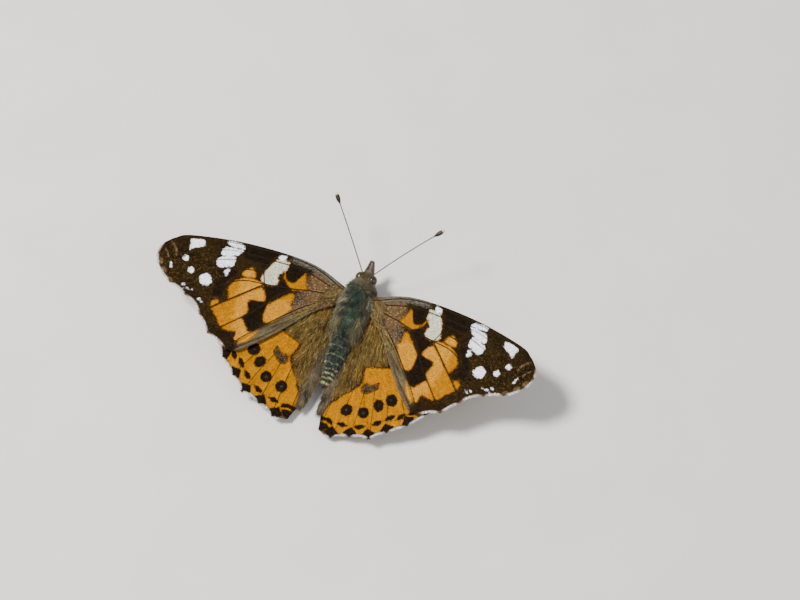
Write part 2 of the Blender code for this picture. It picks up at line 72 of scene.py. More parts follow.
def turn_axes(a, b, angle):
    """Two coordinates once their axes have turned by an angle: a cos + b sin, and b cos - a sin."""
    cos, sin = np.cos(angle), np.sin(angle)
    return a * cos + b * sin, b * cos - a * sin


def body_place(points):
    """(out, forward, up) from the middle of the thorax: turned up by the tilt, then lifted to the body."""
    out, forward, up = np.moveaxis(np.asarray(points, float), -1, 0)
    back, height = turn_axes(-forward, up, BODY_TILT)
    return np.stack([out, back, height + BODY_HEIGHT], axis=-1) + STANCE


def wing_arch(u, v):
    """Half a sine wave along the span, dying away towards the rear: the wing's gentle arch."""
    fading = np.clip(1.0 - v / ARCH_DEPTH, 0.0, 1.0)
    return ARCH_HEIGHT * np.sin(np.pi * np.clip(u / ARCH_SPAN, 0.0, 1.0)) * fading


def wing_place(u, v, height, side, wing):
    """Out along the wing, back and up from its plane: swung on its hinge, arched, drooped, raised."""
    hinge_u, hinge_v = wing["hinge"]
    u, v = turn_axes(u - hinge_u, v - hinge_v, wing["swing"][side])
    u, v = u + hinge_u, v + hinge_v
    y, z = turn_axes(v, height + wing_arch(u, v), WING_DROOP)
    x, z = turn_axes(u, z, -WING_RAISE[side])
    return np.stack([side * x, y, z], axis=-1) + STANCE + WING_ROOT * [side, 1, 1]


print("middle of the thorax, mm:", body_place([0, 0, 0]).round(2))

# %% [markdown]
# Every piece is a grid, a swept tube or a set of small spikes, worked out as whole arrays, so one function
# turns arrays into a mesh. It takes rows of corners, gives the mesh its attributes and its UV map, checks by
# the enclosed volume that the faces point outwards, and turns them over if they don't. A tube is closed by
# a fan of triangles at each end.

# %% Turn arrays into a mesh
def grid_faces(rows, columns, wrap=False):
    """Corners of the squares between neighbours; wrap joins the last column to the first."""
    across = np.arange(columns if wrap else columns - 1)
    row, column = np.meshgrid(np.arange(rows - 1), across, indexing="ij")
    following = (column + 1) % columns
    corners = [row * columns + column, (row + 1) * columns + column,
               (row + 1) * columns + following, row * columns + following]
    return np.stack(corners, axis=-1).reshape(-1, 4)


def closed_tube(rows, columns):
    """The squares of a tube, and a fan at each end to one more point, both numbered after the rings."""
    count = rows * columns
    first = np.arange(columns)
    last = first + count - columns
    fans = [np.stack([np.full(columns, count), first, np.roll(first, -1)], axis=1),
            np.stack([np.full(columns, count + 1), np.roll(last, -1), last], axis=1)]
    return [grid_faces(rows, columns, wrap=True), *fans]


def per_ring(values, columns):
    """One number for each ring of a closed tube, given to all its points and its two end points."""
    column = np.concatenate([np.repeat(values, columns), values[[0, -1]]])
    return np.stack([column] * 3, axis=1)


def enclosed(points, faces):
    """Six times the volume inside: the sum over triangles of a . (b x c)."""
    total = 0.0
    for corners in faces:
        for k in range(1, corners.shape[1] - 1):
            a, b, c = points[corners[:, 0]], points[corners[:, k]], points[corners[:, k + 1]]
            total += np.einsum("ij,ij->i", a, np.cross(b, c)).sum()
    return total


def make_piece(name, points, faces, fields=(), uv=None, smooth=True):
    """A mesh object from points in millimetres, lists of faces, named fields per point and a UV per point."""
    points = np.asarray(points, float).reshape(-1, 3)
    if enclosed(points - points.mean(axis=0), faces) < 0.0:
        faces = [corners[:, ::-1] for corners in faces]
    loops = np.concatenate([corners.ravel() for corners in faces]).astype(np.int32)
    sizes = np.concatenate([np.full(len(corners), corners.shape[1]) for corners in faces])
    starts = np.concatenate([[0], np.cumsum(sizes)[:-1]]).astype(np.int32)
    mesh = bpy.data.meshes.new(name)
    mesh.vertices.add(len(points))
    mesh.vertices.foreach_set("co", (points * MM).astype(np.float32).ravel())
    mesh.loops.add(len(loops))
    mesh.loops.foreach_set("vertex_index", loops)
    mesh.polygons.add(len(sizes))
    mesh.polygons.foreach_set("loop_start", starts)
    mesh.polygons.foreach_set("use_smooth", np.full(len(sizes), smooth))
    mesh.update(calc_edges=True)
    for key, values in dict(fields).items():
        layer = mesh.attributes.new(key, "FLOAT_VECTOR", "POINT")
        layer.data.foreach_set("vector", np.asarray(values, np.float32).ravel())
    if uv is not None:
        layer = mesh.uv_layers.new(name=uv[0])
        layer.data.foreach_set("uv", np.asarray(uv[1], np.float32).reshape(-1, 2)[loops].ravel())
    piece = bpy.data.objects.new(name, mesh)
    bpy.context.scene.collection.objects.link(piece)
    triangles = int((sizes - 2).sum())
    print(f"{name}: {len(points)} points, {triangles} triangles")
    return piece


def fit_out(piece, finish, replaces=()):
    """Gives a piece its finish, hides the parts that it stands for, and lets it ride on the body."""
    piece.data.materials.append(finish)
    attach(piece, "root")
    if replaces:
        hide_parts(*replaces)
    return piece


# %% [markdown]
# A wing's edges are smooth curves between a few named points. A curve through points is a chain of cubic
# pieces whose slope at each point is half the step between its neighbours, and then it is walked at even
# strides. The outer margin is different: between one vein's end and the next it bows in or out, which is
# what gives the wing its scalloped edge.

# %% Curves through points
STEPS = 24


def curve_through(points, count, closed=False):
    """Cubic pieces with slopes of half the step between neighbours, walked at even strides."""
    points = np.asarray(points, float)
    if closed:
        points = np.concatenate([points[-2:], points, points[:3]])
    slopes = np.gradient(points, axis=0)
    t = np.linspace(0.0, 1.0, STEPS + 1)[:-1, None, None]
    start, end, leave, arrive = points[:-1], points[1:], slopes[:-1], slopes[1:]
    dense = (start * (2 * t**3 - 3 * t**2 + 1) + leave * (t**3 - 2 * t**2 + t)
             + end * (3 * t**2 - 2 * t**3) + arrive * (t**3 - t**2))
    dense = dense.transpose(1, 0, 2).reshape(-1, points.shape[1])
    dense = dense[2 * STEPS:-2 * STEPS] if closed else np.concatenate([dense, points[-1:]])
    return even_strides(dense, count)


def walked(path):
    """How far along the path each of its points lies: the running sum of its steps."""
    return np.concatenate([[0.0], np.cumsum(np.linalg.norm(np.diff(path, axis=0), axis=1))])


def read_along(rows, stops, at):
    """Rows known at the stops, read at other places on the straight lines between them."""
    return np.stack([np.interp(at, stops, rows[:, k]) for k in range(rows.shape[1])], axis=-1)


def even_strides(path, count):
    """The same path with its points spread evenly along its length."""
    length = walked(path)
    return read_along(path, length, np.linspace(0.0, length[-1], count))


def quarter_turn(headings):
    """(x, y) to (y, -x): from the heading along a wing's edge to the way out of the wing."""
    return np.stack([headings[..., 1], -headings[..., 0]], axis=-1)


def scalloped_edge(ends, bows, count, inset=0.0):
    """Parabolas between vein ends, each bowed by its own amount, all drawn inwards by the inset."""
    ends = np.asarray(ends, float)
    t = np.linspace(0.0, 1.0, 21)[None, :-1, None]
    along = np.diff(ends, axis=0)[:, None]
    outwards = quarter_turn(along) / np.linalg.norm(along, axis=-1)[..., None]
    edge = ends[:-1, None] + along * t + outwards * np.asarray(bows)[:, None, None] * 4.0 * t * (1.0 - t)
    edge = even_strides(np.concatenate([edge.reshape(-1, 2), ends[-1:]]), count)
    heading = np.gradient(edge, axis=0)
    heading /= np.linalg.norm(heading, axis=1)[:, None]
    share = np.sin(np.pi * np.linspace(0.0, 1.0, count)) ** 0.25
    return edge - quarter_turn(heading) * inset * share[:, None]


# %% [markdown]
# The forewing is a long triangle with a cut-away outer margin, and the hindwing is rounder. Each wing is a
# patch stretched between four edges: the leading edge, the margin, the inner edge and the short root. The
# veins stay where the model has them. A wing is a few hundredths of a millimetre thick in life, so the sheet
# is thin, and the fringe, made later, fills the last half millimetre up to the model's outline.

# %% The shapes of the two wings
FRINGE = 0.42

FOREWING = {
    "name": "forewing", "level": 0.36, "hinge": (0.0, 0.0),
    "swing": {1: np.radians(1.0), -1: np.radians(-1.0)}, "count": (210, 136),
    "front": [(-1.6, 0.6), (0, 0), (6.2, -1.33), (16.3, -0.35), (25.2, 1.85), (27.6, 3.3), (28.9, 4.75)],
    "ends": [(28.9, 4.75), (29.4, 6.6), (28.35, 8.7), (25.6, 10.8), (22.6, 11.75), (19.45, 13.7),
             (16.9, 16.1), (13.2, 17.25)],
    "bows": [0.16, 0.14, 0.1, -0.35, -0.55, -0.25, -0.35],
    "white_fringe": [0.3, 0.7, 0.9, 1, 1, 1, 1, 1],
    "back": [(-1.4, 2.6), (-0.2, 3.1), (3.2, 6.5), (7, 11.75), (11, 16.3), (13.2, 17.25)],
    "veins": [
        [(-.6, .85), (6.2, -.95), (16.3, .05), (25.2, 2.4), (28.8, 5.2)],
        [(-.6, 1.5), (6.3, .3), (11.6, .75), (18.7, 1.85), (23.9, 4.5), (29.35, 6.7)],
        [(11.6, .75), (12.5, 2.6), (11.6, 4.9)],
        [(12.2, 1.7), (18, 3.2), (23.2, 5.9), (28.35, 8.7)],
        [(12.5, 2.9), (17.7, 4.8), (21.4, 7.1), (25.6, 10.8)],
        [(11.6, 4.9), (15, 5.7), (18, 7.9), (22.6, 11.75)],
        [(-.6, 1.9), (4.25, 2.9), (7.3, 3.85), (11.6, 4.9)],
        [(11.6, 4.9), (13.9, 7.4), (17.9, 11.75), (19.45, 13.7)],
        [(7.3, 3.85), (9, 5.9), (11.7, 10), (15.5, 14.4), (16.9, 16.1)],
        [(-.6, 2.2), (4.1, 5.5), (8.8, 10.8), (12, 15), (13.2, 17.25)],
    ],
}
HINDWING = {
    "name": "hindwing", "level": -0.33, "hinge": (0.5, 3.0),
    "swing": {1: np.radians(3.05), -1: np.radians(-3.05)}, "count": (160, 176),
    "front": [(-1, 2.2), (1, 2), (6.4, 3.8), (12.3, 6.8), (16.7, 10.1)],
    "ends": [(16.7, 10.1), (17.1, 13.0), (15.3, 16.1), (12.85, 18.95), (10.1, 21.0), (7.65, 22.9),
             (4.4, 23.45), (1.65, 24.4), (-0.9, 23.55)],
    "bows": [0.3, 0, -0.2, -0.25, -0.4, -0.5, -0.45, 0.2],
    "white_fringe": [1, 1, 1, 1, 1, 1, 1, 0.8, 0.3],
    "back": [(-1.2, 2.9), (-1.8, 4.5), (-2.4, 9), (-2.6, 15.2), (-2.4, 19.2), (-1.5, 21.2), (-0.9, 23.55)],
    "veins": [
        [(-.6, 2.9), (2.5, 3.7), (9.5, 7.2), (17.1, 13)],
        [(-.6, 3.3), (2.6, 5.4), (6.2, 9.3)],
        [(2.6, 5.4), (8.5, 9.8), (15.3, 16.1)],
        [(6.2, 9.3), (9.4, 13.9), (12.85, 18.95)],
        [(6.2, 9.3), (5.4, 10.7), (4.2, 11.6)],
        [(5.4, 10.7), (7.8, 15.4), (10.1, 21)],
        [(4.2, 11.6), (6, 16.8), (7.65, 22.9)],
        [(-.6, 3.7), (1.5, 6.4), (2.7, 9.4), (4.2, 11.6)],
        [(2.7, 9.4), (3.9, 16), (4.4, 23.45)],
        [(1.5, 6.4), (2, 14.5), (1.65, 24.4)],
        [(-.6, 4.1), (0, 8), (-.4, 15.5), (-.9, 23.55)],
    ],
}


def stretched_patch(front, back, root, margin):
    """Coons patch: both ruled surfaces between facing edges, less the flat patch through the corners."""
    s = np.linspace(0.0, 1.0, len(front))[:, None, None]
    t = np.linspace(0.0, 1.0, len(root))[None, :, None]
    lengthwise = (1 - t) * front[:, None] + t * back[:, None]
    crosswise = (1 - s) * root[None] + s * margin[None]
    corners = ((1 - s) * ((1 - t) * front[0] + t * back[0]) + s * ((1 - t) * front[-1] + t * back[-1]))
    return lengthwise + crosswise - corners


def distance_to(points, path):
    """Distance from each point to the nearest stretch of a path, by the foot of the perpendicular."""
    start, along = path[:-1], np.diff(path, axis=0)
    nearest = np.full(len(points), np.inf)
    for a, b in zip(start, along):
        share = np.clip(((points - a) @ b) / max(b @ b, 1e-9), 0.0, 1.0)
        nearest = np.minimum(nearest, np.linalg.norm(points - a - share[:, None] * b, axis=1))
    return nearest


def lay_out(wing):
    """The flat patch of a wing, with each point's distance to the veins and to the three free edges."""
    along, across = wing["count"]
    margin = scalloped_edge(wing["ends"], wing["bows"], across, FRINGE)
    front, back = curve_through(wing["front"], along), curve_through(wing["back"], along)
    front[-1], back[-1] = margin[0], margin[-1]
    root = np.linspace(front[0], back[0], across)
    wing["flat"] = stretched_patch(front, back, root, margin)
    spots = wing["flat"].reshape(-1, 2)
    veins = [distance_to(spots, curve_through(vein, 26)) for vein in wing["veins"]]
    wing["to_vein"] = np.min(veins, axis=0)
    wing["to_margin"] = distance_to(spots, margin[::3])
    wing["to_front"] = distance_to(spots, front[::4])
    wing["to_back"] = distance_to(spots, back[::4])
    print(wing["name"], "spans", np.ptp(spots[:, 0]).round(1), "by", np.ptp(spots[:, 1]).round(1), "mm")


lay_out(FOREWING)
lay_out(HINDWING)

# %% [markdown]
# A butterfly's picture is a mosaic: each scale has one colour, and a patch ends where its last scale ends.
# The picture is therefore drawn as shapes, not painted as dots. Every patch is a rounded outline in the
# wing's own millimetres, and each point of the wing keeps its distance to the nearest patch of a colour,
# positive inside. The finish then decides scale by scale which side of the edge it is on, and so the edges
# stay sharp and ragged at any size.

# %% Patches as distances
def patch(spots, outline):
    """Signed distance to a rounded outline: how far inside a spot lies, or minus how far outside."""
    edge = curve_through(outline, 7 * len(outline), closed=True)
    following = np.roll(edge, -1, axis=0)
    inside = np.zeros(len(spots), bool)
    for a, b in zip(edge, following):
        crosses = (a[1] > spots[:, 1]) != (b[1] > spots[:, 1])
        rise = b[1] - a[1] if b[1] != a[1] else 1.0
        inside ^= crosses & (spots[:, 0] < a[0] + (spots[:, 1] - a[1]) * (b[0] - a[0]) / rise)
    gap = distance_to(spots, np.concatenate([edge, edge[:1]]))
    return np.where(inside, gap, -gap)


def oval(spots, middle, radius, stretch=1.0, lean=0.0, power=2.0):
    """How far inside an oval each spot lies: radius less (|x|^power + |y|^power)^(1/power).

    The stretch divides x, which runs along the lean, and a power below 2 draws the ends out to points."""
    off = spots - np.asarray(middle, float)
    x, y = turn_axes(off[:, 0], off[:, 1], np.radians(lean))
    return radius - ((np.abs(x) / stretch) ** power + np.abs(y) ** power) ** (1.0 / power)


def stroke(spots, path, half_width):
    """How far inside a brush stroke along a path each spot lies."""
    return half_width - distance_to(spots, curve_through(path, 14))


def most(*shapes):
    """Union of shapes: the largest of their distances."""
    return np.max(shapes, axis=0)


def ease(value, low, high):
    """A smooth rise from 0 at low to 1 at high."""
    t = np.clip((value - low) / (high - low), 0.0, 1.0)
    return t * t * (3.0 - 2.0 * t)


def polar(u, v, centre):
    """How far each spot lies from a centre, and in which direction."""
    return np.hypot(u - centre[0], v - centre[1]), np.arctan2(v - centre[1], u - centre[0])


# %% [markdown]
# The forewing's upper side is dark brown with orange patches cut by black veins. A cream bar crosses the
# cell, white marks fill the tip, and the base is dusted pinkish brown, with pale flecks that are painted
# glints and a grey front edge that is partly a painted sheen. Toward the body the outer orange fades to a
# peach tone, and buff patches and white specks break the dark margin. These outlines are the insect's real
# patches, one by one.

# %% Draw the forewing's upper side
def forewing_upper(wing):
    """Fields of the upper side: distances to orange, cream, white and black, and weights of the dusting."""
    spots = wing["flat"].reshape(-1, 2)
    u, v = spots.T
    cell = patch(spots, [(6.4, .7), (7.1, 1.9), (7.4, 2.75), (8.4, 2.95), (8.4, 3.4), (7.6, 3.95),
                         (6.5, 3.8), (5.1, 3.1), (5.6, 2), (6.1, .8)])
    link = stroke(spots, [(9.35, 1.5), (9.0, 2.6), (8.3, 3.2)], 0.16)
    long_patch = patch(spots, [(6.6, 4.5), (7.2, 4.6), (8, 5.5), (9.8, 7.7), (9.9, 8.8), (9.7, 10.2),
                               (9.2, 10.65), (8.3, 10.45), (7.2, 9.1), (6.2, 7.3), (6, 6.8), (6.5, 6.3),
                               (6.4, 5.3)])
    upper_patch = patch(spots, [(11.6, 5.05), (12.8, 4.7), (14.5, 5), (15.9, 5.95), (16.55, 7.1),
                                (16.6, 7.9), (16.1, 8.9), (15.7, 9.3), (14.3, 7.8), (12.5, 6)])
    middle_patch = patch(spots, [(11.7, 5.6), (12.6, 6.2), (15, 8.7), (17.6, 11.5), (17.4, 12.2),
                                 (16.5, 12.9), (15.6, 13.95), (15.1, 13.95), (14.5, 13.3), (12.6, 11),
                                 (12.3, 10.2), (12.8, 8.6), (12.4, 8.05), (11.2, 7.9), (10.5, 7.4),
                                 (10.7, 6.5)])
    lower_patch = patch(spots, [(10.3, 12.85), (11.1, 13), (11.65, 12.4), (12.95, 11.5), (15, 14.05),
                                (14, 14.25), (12.85, 13.9), (12.5, 15.3), (11.8, 15.1), (10.7, 13.7)])
    small = patch(spots, [(13.25, 4.35), (14.2, 3.1), (15.4, 4), (15.45, 4.95), (14.1, 4.9)])
    smallest = patch(spots, [(17, 10.4), (17.5, 10.1), (18.25, 10.65), (18, 11.5), (17.5, 11.2)])
    past_vein = patch(spots, [(9.5, 12.1), (10.6, 13.3), (11.8, 15.0), (11.7, 15.7), (10.6, 14.9),
                              (9.7, 13.5)])
    orange = most(cell, link, long_patch, upper_patch, middle_patch, lower_patch, small - .05, smallest,
                  past_vein - .1)
    cream = patch(spots, [(9.5, 0), (10.8, 0), (11.6, 1.2), (12.1, 2.65), (12.35, 4.3), (11.2, 4.75),
                          (10, 4.4), (9.8, 3.7), (10.1, 2.8), (9.9, 2.2), (9.3, 1.3), (9.3, .3)])
    tip = [patch(spots, outline) for outline in (
        [(10.1, -.8), (11.1, -.5), (11.1, .1), (10.3, .1)],
        [(16.8, .55), (17.4, .2), (19.4, .55), (19.2, 1.1), (16.85, .9)],
        [(16.9, 1.1), (19.1, 1.5), (19.75, 2.05), (19.8, 2.9), (19.4, 3.05), (17.6, 2.35), (16.9, 1.55)],
        [(17.6, 2.6), (19.4, 3.3), (20.05, 4.1), (19.8, 4.7), (19.1, 5.05), (17.4, 4.15), (17.3, 3.8)],
        [(22.9, 2.15), (23.5, 2.0), (25.1, 2.5), (24.9, 3.4), (24.7, 4.2), (23.9, 3.5), (22.9, 2.8)],
        [(20.3, 6.87), (21.24, 7.27), (21.44, 7.85), (21.03, 8.7), (20.17, 8.75), (19.56, 8.26),
         (19.64, 7.54)],
    )]
    dots = [oval(spots, (23.2, 7.3), .5), oval(spots, (24.7, 5.75), .42)]
    faint = [patch(spots, [(17.5, 4.65), (18.2, 4.95), (18.3, 5.7), (17.5, 6.1)]) - .12,
             patch(spots, [(26.35, 7.4), (26.75, 7.15), (26.75, 8), (26.1, 8.2)]) - .1]
    specks = [oval(spots, *mark) for mark in (
        ((20.2, 11.2), .17, 1.4, 10), ((19.6, 11.5), .06, 2.5, 30), ((22.6, 10.3), .07, 2.6, -15),
        ((23.4, 9.95), .16, 1.2, 40), ((23.15, 10.6), .05, 2.5, 70), ((21.8, 10.2), .03, 2, 60))]
    white = most(*tip, *dots, *faint, *specks)
    cell_black = patch(spots, [(7, .1), (9.2, .1), (9.4, 1.5), (8.8, 2.3), (7.9, 2.75), (7.2, 2.4),
                               (6.7, 1.3)])
    behind_bar = patch(spots, [(7.6, 4.1), (9.2, 3.6), (10.2, 4.9), (11.2, 5.2), (10.6, 6.2), (10.3, 7.2),
                               (9.6, 6.8)])
    blotch = patch(spots, [(10.2, 7.6), (12.6, 8.5), (12, 10), (12.4, 11.2), (11.4, 12.2), (10.2, 12.6),
                           (10, 9)])
    front_black = patch(spots, [(11.4, -1), (16.5, -.2), (16.4, 2.2), (13.6, 2.4), (12.6, 3), (11.8, .8)])
    beyond = patch(spots, [(16, 4.6), (17.2, 4.6), (18.4, 6.4), (19, 8.6), (18.4, 10), (17, 9.4),
                           (17.2, 7.2)])
    black = most(cell_black, behind_bar, blotch, front_black - .3, beyond - .2)
    toward_body = 0.95 - 0.95 * ease(u + 0.25 * (v - 6), 14.3, 16.9)
    peach = np.where(u < 10.35, ease(v, 4.9, 6.6) * 0.75, toward_body)
    rose = (1 - ease(u - 0.22 * v, 3.8, 6.4)) * (0.6 + 0.4 * ease(wing["to_front"], .5, 1.6))
    streaks = most(stroke(spots, [(26.3, 5.9), (26.8, 4.9), (27.7, 4.2)], .14),
                   stroke(spots, [(27.4, 6.6), (27.9, 5.9), (28.3, 5.6)], .1))
    rose = np.maximum(rose, 0.75 * ease(streaks, -.2, .1))
    buffs = most(*[oval(spots, at, .3, 1.6, lean) for at, lean in (
        ((20.4, 12.3), 140), ((23.4, 10.95), 160), ((25.6, 10.1), 150), ((27.2, 8.9), 140),
        ((28.2, 7.7), 115))])
    buff_share = ease(buffs, -.25, .15)
    rose = np.maximum(rose, buff_share)
    wing["pale_rim"] = 0.3 * buff_share
    olive = ease(u, 12.0, 20.0) * (0.35 + 0.65 * ease(wing["to_front"], .6, 2.6))
    # Grey along the front edge near the root: partly the scales' own grey and partly a painted sheen. The
    # dusky smudge is the wing's own colour.
    grey = 0.75 * (1 - ease(wing["to_front"], .5, 1.6)) * (1 - ease(u, 8.6, 9.8)) * ease(u, -.5, 1.5)
    dusk = ease(oval(spots, (5.5, 4.9), 0.8, 1.5, 50), -.8, .5)
    grey, rose = np.maximum(grey, 0.36 * dusk), rose * (1 - 0.45 * dusk)
    strip = patch(spots, [(-1.4, 2.2), (1.8, 3.9), (4.0, 5.5), (6.4, 8.1), (8.7, 10.8), (10.4, 13),
                          (11.9, 15), (12.6, 16.2), (11.6, 17.3), (9.6, 15.4), (6.2, 11.4), (2.6, 6.6),
                          (-.6, 3.6)])
    edge_tone = 0.95 * ease(strip, -.12, .12) * (1 - 0.8 * ease(u, 10.6, 12.4))
    return {"marks": (orange, cream, white), "tones": (black, peach, rose), "dust": (olive, grey, edge_tone)}


# %% [markdown]
# The hindwing is mostly orange. Brown hair covers its base and its folded inner edge, a row of dark
# eye-spots runs across it, and two more rows of dark marks, pointed like lozenges, follow the margin. The
# part under the forewing has the dark leading edge and the dark bar at the cell's end that the species has
# there.

# %% Draw the hindwing's upper side
def hindwing_upper(wing):
    """Fields of the upper side: the orange field, the dark spots and the brown of the hairy base."""
    spots = wing["flat"].reshape(-1, 2)
    u, v = spots.T
    orange = patch(spots, [(6.6, 9.8), (5.5, 10.8), (4.2, 11.1), (2.5, 11.5), (2.6, 12.7), (2.9, 14.1),
                           (2.4, 15.1), (1.7, 15.9), (.5, 16.9), (.1, 18), (-.8, 19), (-1.2, 20.6),
                           (-.6, 23.0), (1.6, 23.9), (4.4, 23.2), (7.5, 22.5), (10, 20.7), (12.6, 18.6),
                           (15, 15.9), (16.4, 13), (14.2, 11.4), (11, 9.4), (8.4, 8.6)])
    smudge = patch(spots, [(5.5, 13.4), (4.9, 13.9), (4.2, 14.1), (3.3, 14.2), (3.1, 15.1), (3.7, 15.7),
                           (4.7, 15.3), (5.7, 14.4)])
    eyes = [oval(spots, (8.6, 15.5), .95, 1.15, 50), oval(spots, (6.9, 16.9), .86, 1.25, 60),
            oval(spots, (5.0, 18.7), .94), oval(spots, (2.2, 19.1), 1.0),
            oval(spots, (10.6, 14.1), .75), oval(spots, (12.2, 12.4), .6)]
    inner_row = [oval(spots, at, .46, 2.1, lean, 1.3) for at, lean in (
        ((13.6, 14.9), 125), ((12.6, 16.4), 125), ((11.1, 17.6), 130), ((9.5, 18.3), 135),
        ((7.8, 19.7), 140), ((5.3, 21.1), 160), ((2.4, 21.6), 175), ((-.2, 21.6), 175))]
    outer_row = [oval(spots, at, 1.08, 1.2, lean, 0.95) for at, lean in (
        ((15.3, 15.2), 125), ((12.5, 17.9), 125), ((9.7, 20.2), 140),
        ((7.1, 21.9), 150), ((4.2, 22.5), 170), ((1.2, 23.3), 175))]
    corner = patch(spots, [(.9, 21.7), (-.2, 21.3), (-1.6, 21.2), (-2.6, 21.8), (-2.2, 22.9), (-.7, 23.6),
                           (.4, 23.0)])
    bar = patch(spots, [(6.4, 9.2), (7.6, 10), (9.2, 11.6), (8.8, 12.6), (7.4, 11.8), (6.6, 10.8),
                        (5.6, 10.6)])
    centre = most(*[oval(spots, at, size) for at, size in (
        ((5, 18.7), .34), ((6.9, 16.9), .24), ((2.2, 19.1), .34), ((8.6, 15.5), .18))])
    crescent = stroke(spots, [(.7, 22.4), (-.3, 22.0), (-1.5, 22.2)], .12)
    black = np.minimum(most(*eyes, *inner_row, *outer_row, corner, bar - .1), -crescent)
    white = np.full(len(spots), -3.0)
    peach = 0.35 * ease(u, 9, 13) + 0.2 * ease(v, 19, 23)
    rose = np.maximum(1 - ease(orange, -1.2, 0.2), 0.45 * ease(smudge, -.3, .1))
    olive = 0.6 * ease(v, 8, 16)
    edge_tone = 0.8 * (1 - ease(wing["to_back"], .8, 3.0))
    wing["pale_rim"] = 0.14
    return {"marks": (np.where(smudge > 0, -smudge - .05, np.minimum(orange, -smudge)), white, white),
            "tones": (black, peach, rose), "dust": (olive, 0.34 * ease(centre, -.15, .2), edge_tone)}


# %% [markdown]
# Underneath, the species looks quite different, because that side hides the insect when the wings close.
# The forewing is rosy with the same white marks and a pale olive tip. The hindwing is a marbled brown and
# cream net along white veins, with a row of ringed eye-spots and a line of blue-grey crescents.

# %% Draw both undersides
def forewing_under(wing, upper):
    """The upper picture with a rosy ground, a pale tip and smaller black marks."""
    spots = wing["flat"].reshape(-1, 2)
    u, v = spots.T
    orange, cream, white = upper["marks"]
    black, peach, rose = upper["tones"]
    rosy_part = patch(spots, [(0, 1.2), (6, .2), (9, .6), (12, 1.6), (15, 4), (17, 7), (18.4, 11),
                              (16, 14.4), (12, 15.6), (7, 10.6), (2, 5)])
    tip_tone, none = ease(u + .3 * v, 20.5, 23.5), np.zeros(len(spots))
    return {"marks": (most(orange, rosy_part), cream, white), "dust": (tip_tone, none, none),
            "tones": (black - .1, peach * .4, rose * 0.5)}


def hindwing_under(wing):
    """Cream bands by distance from the root, eye-spots with rings, and pale crescents along the margin."""
    spots = wing["flat"].reshape(-1, 2)
    reach, lean = polar(*spots.T, (-1, 1))
    wobble = 0.7 * np.sin(5 * lean) + 0.5 * np.sin(11 * lean + 1.3) + 0.35 * np.sin(1.9 * reach + 7 * lean)
    bands = np.max([0.55 - np.abs(reach + wobble - at) for at in (3.4, 6.6, 10.2, 14.4)], axis=0)
    spots_at = [(12.2, 12.6), (10.6, 14.1), (8.6, 15.6), (6.9, 16.9), (5.0, 18.7), (2.2, 19.1)]
    sizes = [.75, .6, .9, .6, .85, .95]
    eye = most(*[oval(spots, at, size) for at, size in zip(spots_at, sizes)])
    crescents = most(*[stroke(spots, [(a - .45, b + .25), (a, b + .05), (a + .45, b - .35)], .15)
                       for a, b in ((13.2, 15.3), (11.9, 16.9), (10.2, 18.4), (8.4, 19.9), (6.0, 21.2),
                                    (3.2, 22.1), (.6, 22.3))])
    veins = 0.13 - wing["to_vein"]
    none, full = np.zeros(len(spots)), np.ones(len(spots))
    return {"marks": (none - 3.0, most(bands, veins), eye), "dust": (full, full, none),
            "tones": (crescents, none, ease(reach, 13.5, 15.5))}


FOREWING["upper"], HINDWING["upper"] = forewing_upper(FOREWING), hindwing_upper(HINDWING)
FOREWING["under"] = forewing_under(FOREWING, FOREWING["upper"])
HINDWING["under"] = hindwing_under(HINDWING)
print("share of the forewing that is orange:", (FOREWING["upper"]["marks"][0] > 0).mean().round(2))

# %% [markdown]
# A material is a small machine of nodes. Short helpers keep the wiring readable: one adds a node and joins
# its inputs, and the others do arithmetic, mix colours, lay coats of colour over each other, make a soft
# step, read a noise or one of the piece's attributes, and set the bump. A colour is written as it looks on
# a screen, from 0 to 255, and turned into the linear light that the renderer adds up.

# %% Helpers for finishes
from functools import partial


def tint(red, green, blue):
    """Screen colour to linear light: the power curve above 0.04, a straight line below it."""
    value = np.array([red, green, blue]) / 255.0
    linear = np.where(value <= 0.04045, value / 12.92, ((value + 0.055) / 1.055) ** 2.4)
    return (*linear.tolist(), 1.0)


def add_node(tree, kind, inputs=(), **settings):
    """A node with its settings, each input a number, a colour or another node's output."""
    node = tree.nodes.new(kind)
    for key, value in settings.items():
        setattr(node, key, value)
    for key, value in dict(inputs).items():
        if isinstance(value, bpy.types.NodeSocket):
            tree.links.new(value, node.inputs[key])
        else:
            node.inputs[key].default_value = value
    return node


def maths(tree, operation, a, b=0.0):
    """One arithmetic node: the operation on a and b."""
    return add_node(tree, "ShaderNodeMath", {0: a, 1: b}, operation=operation).outputs[0]


def mix(tree, share, under, over, **settings):
    """The colour under, covered by the colour over as far as the share says."""
    node = add_node(tree, "ShaderNodeMix", {0: share, 6: under, 7: over}, data_type="RGBA", **settings)
    return node.outputs[2]


def two_tones(tree, share, first, second):
    """The first screen colour, turning into the second as the share rises."""
    return mix(tree, share, tint(*first), tint(*second))


def coated(tree, colour, *coats):
    """A colour with coats laid over it in turn, each a share of cover and a colour."""
    for share, coat in coats:
        colour = mix(tree, share, colour, coat)
    return colour


def step(tree, value, low, high, top=1.0):
    """A smooth rise from 0 at low to top at high."""
    node = add_node(tree, "ShaderNodeMapRange", {0: value, 1: low, 2: high, 3: 0.0, 4: top},
                    interpolation_type="SMOOTHSTEP")
    return node.outputs[0]


def noise(tree, place, scale, detail=2.0, roughness=0.5):
    """Smooth random values at a place, its coordinates multiplied by the scale."""
    node = add_node(tree, "ShaderNodeTexNoise", {"Vector": place, "Scale": scale, "Detail": detail,
                                                 "Roughness": roughness})
    return node.outputs["Fac"]


def field(tree, name):
    """The three numbers of an attribute of the piece."""
    read = add_node(tree, "ShaderNodeAttribute", attribute_name=name)
    split = add_node(tree, "ShaderNodeSeparateXYZ", {0: read.outputs["Vector"]})
    return split.outputs


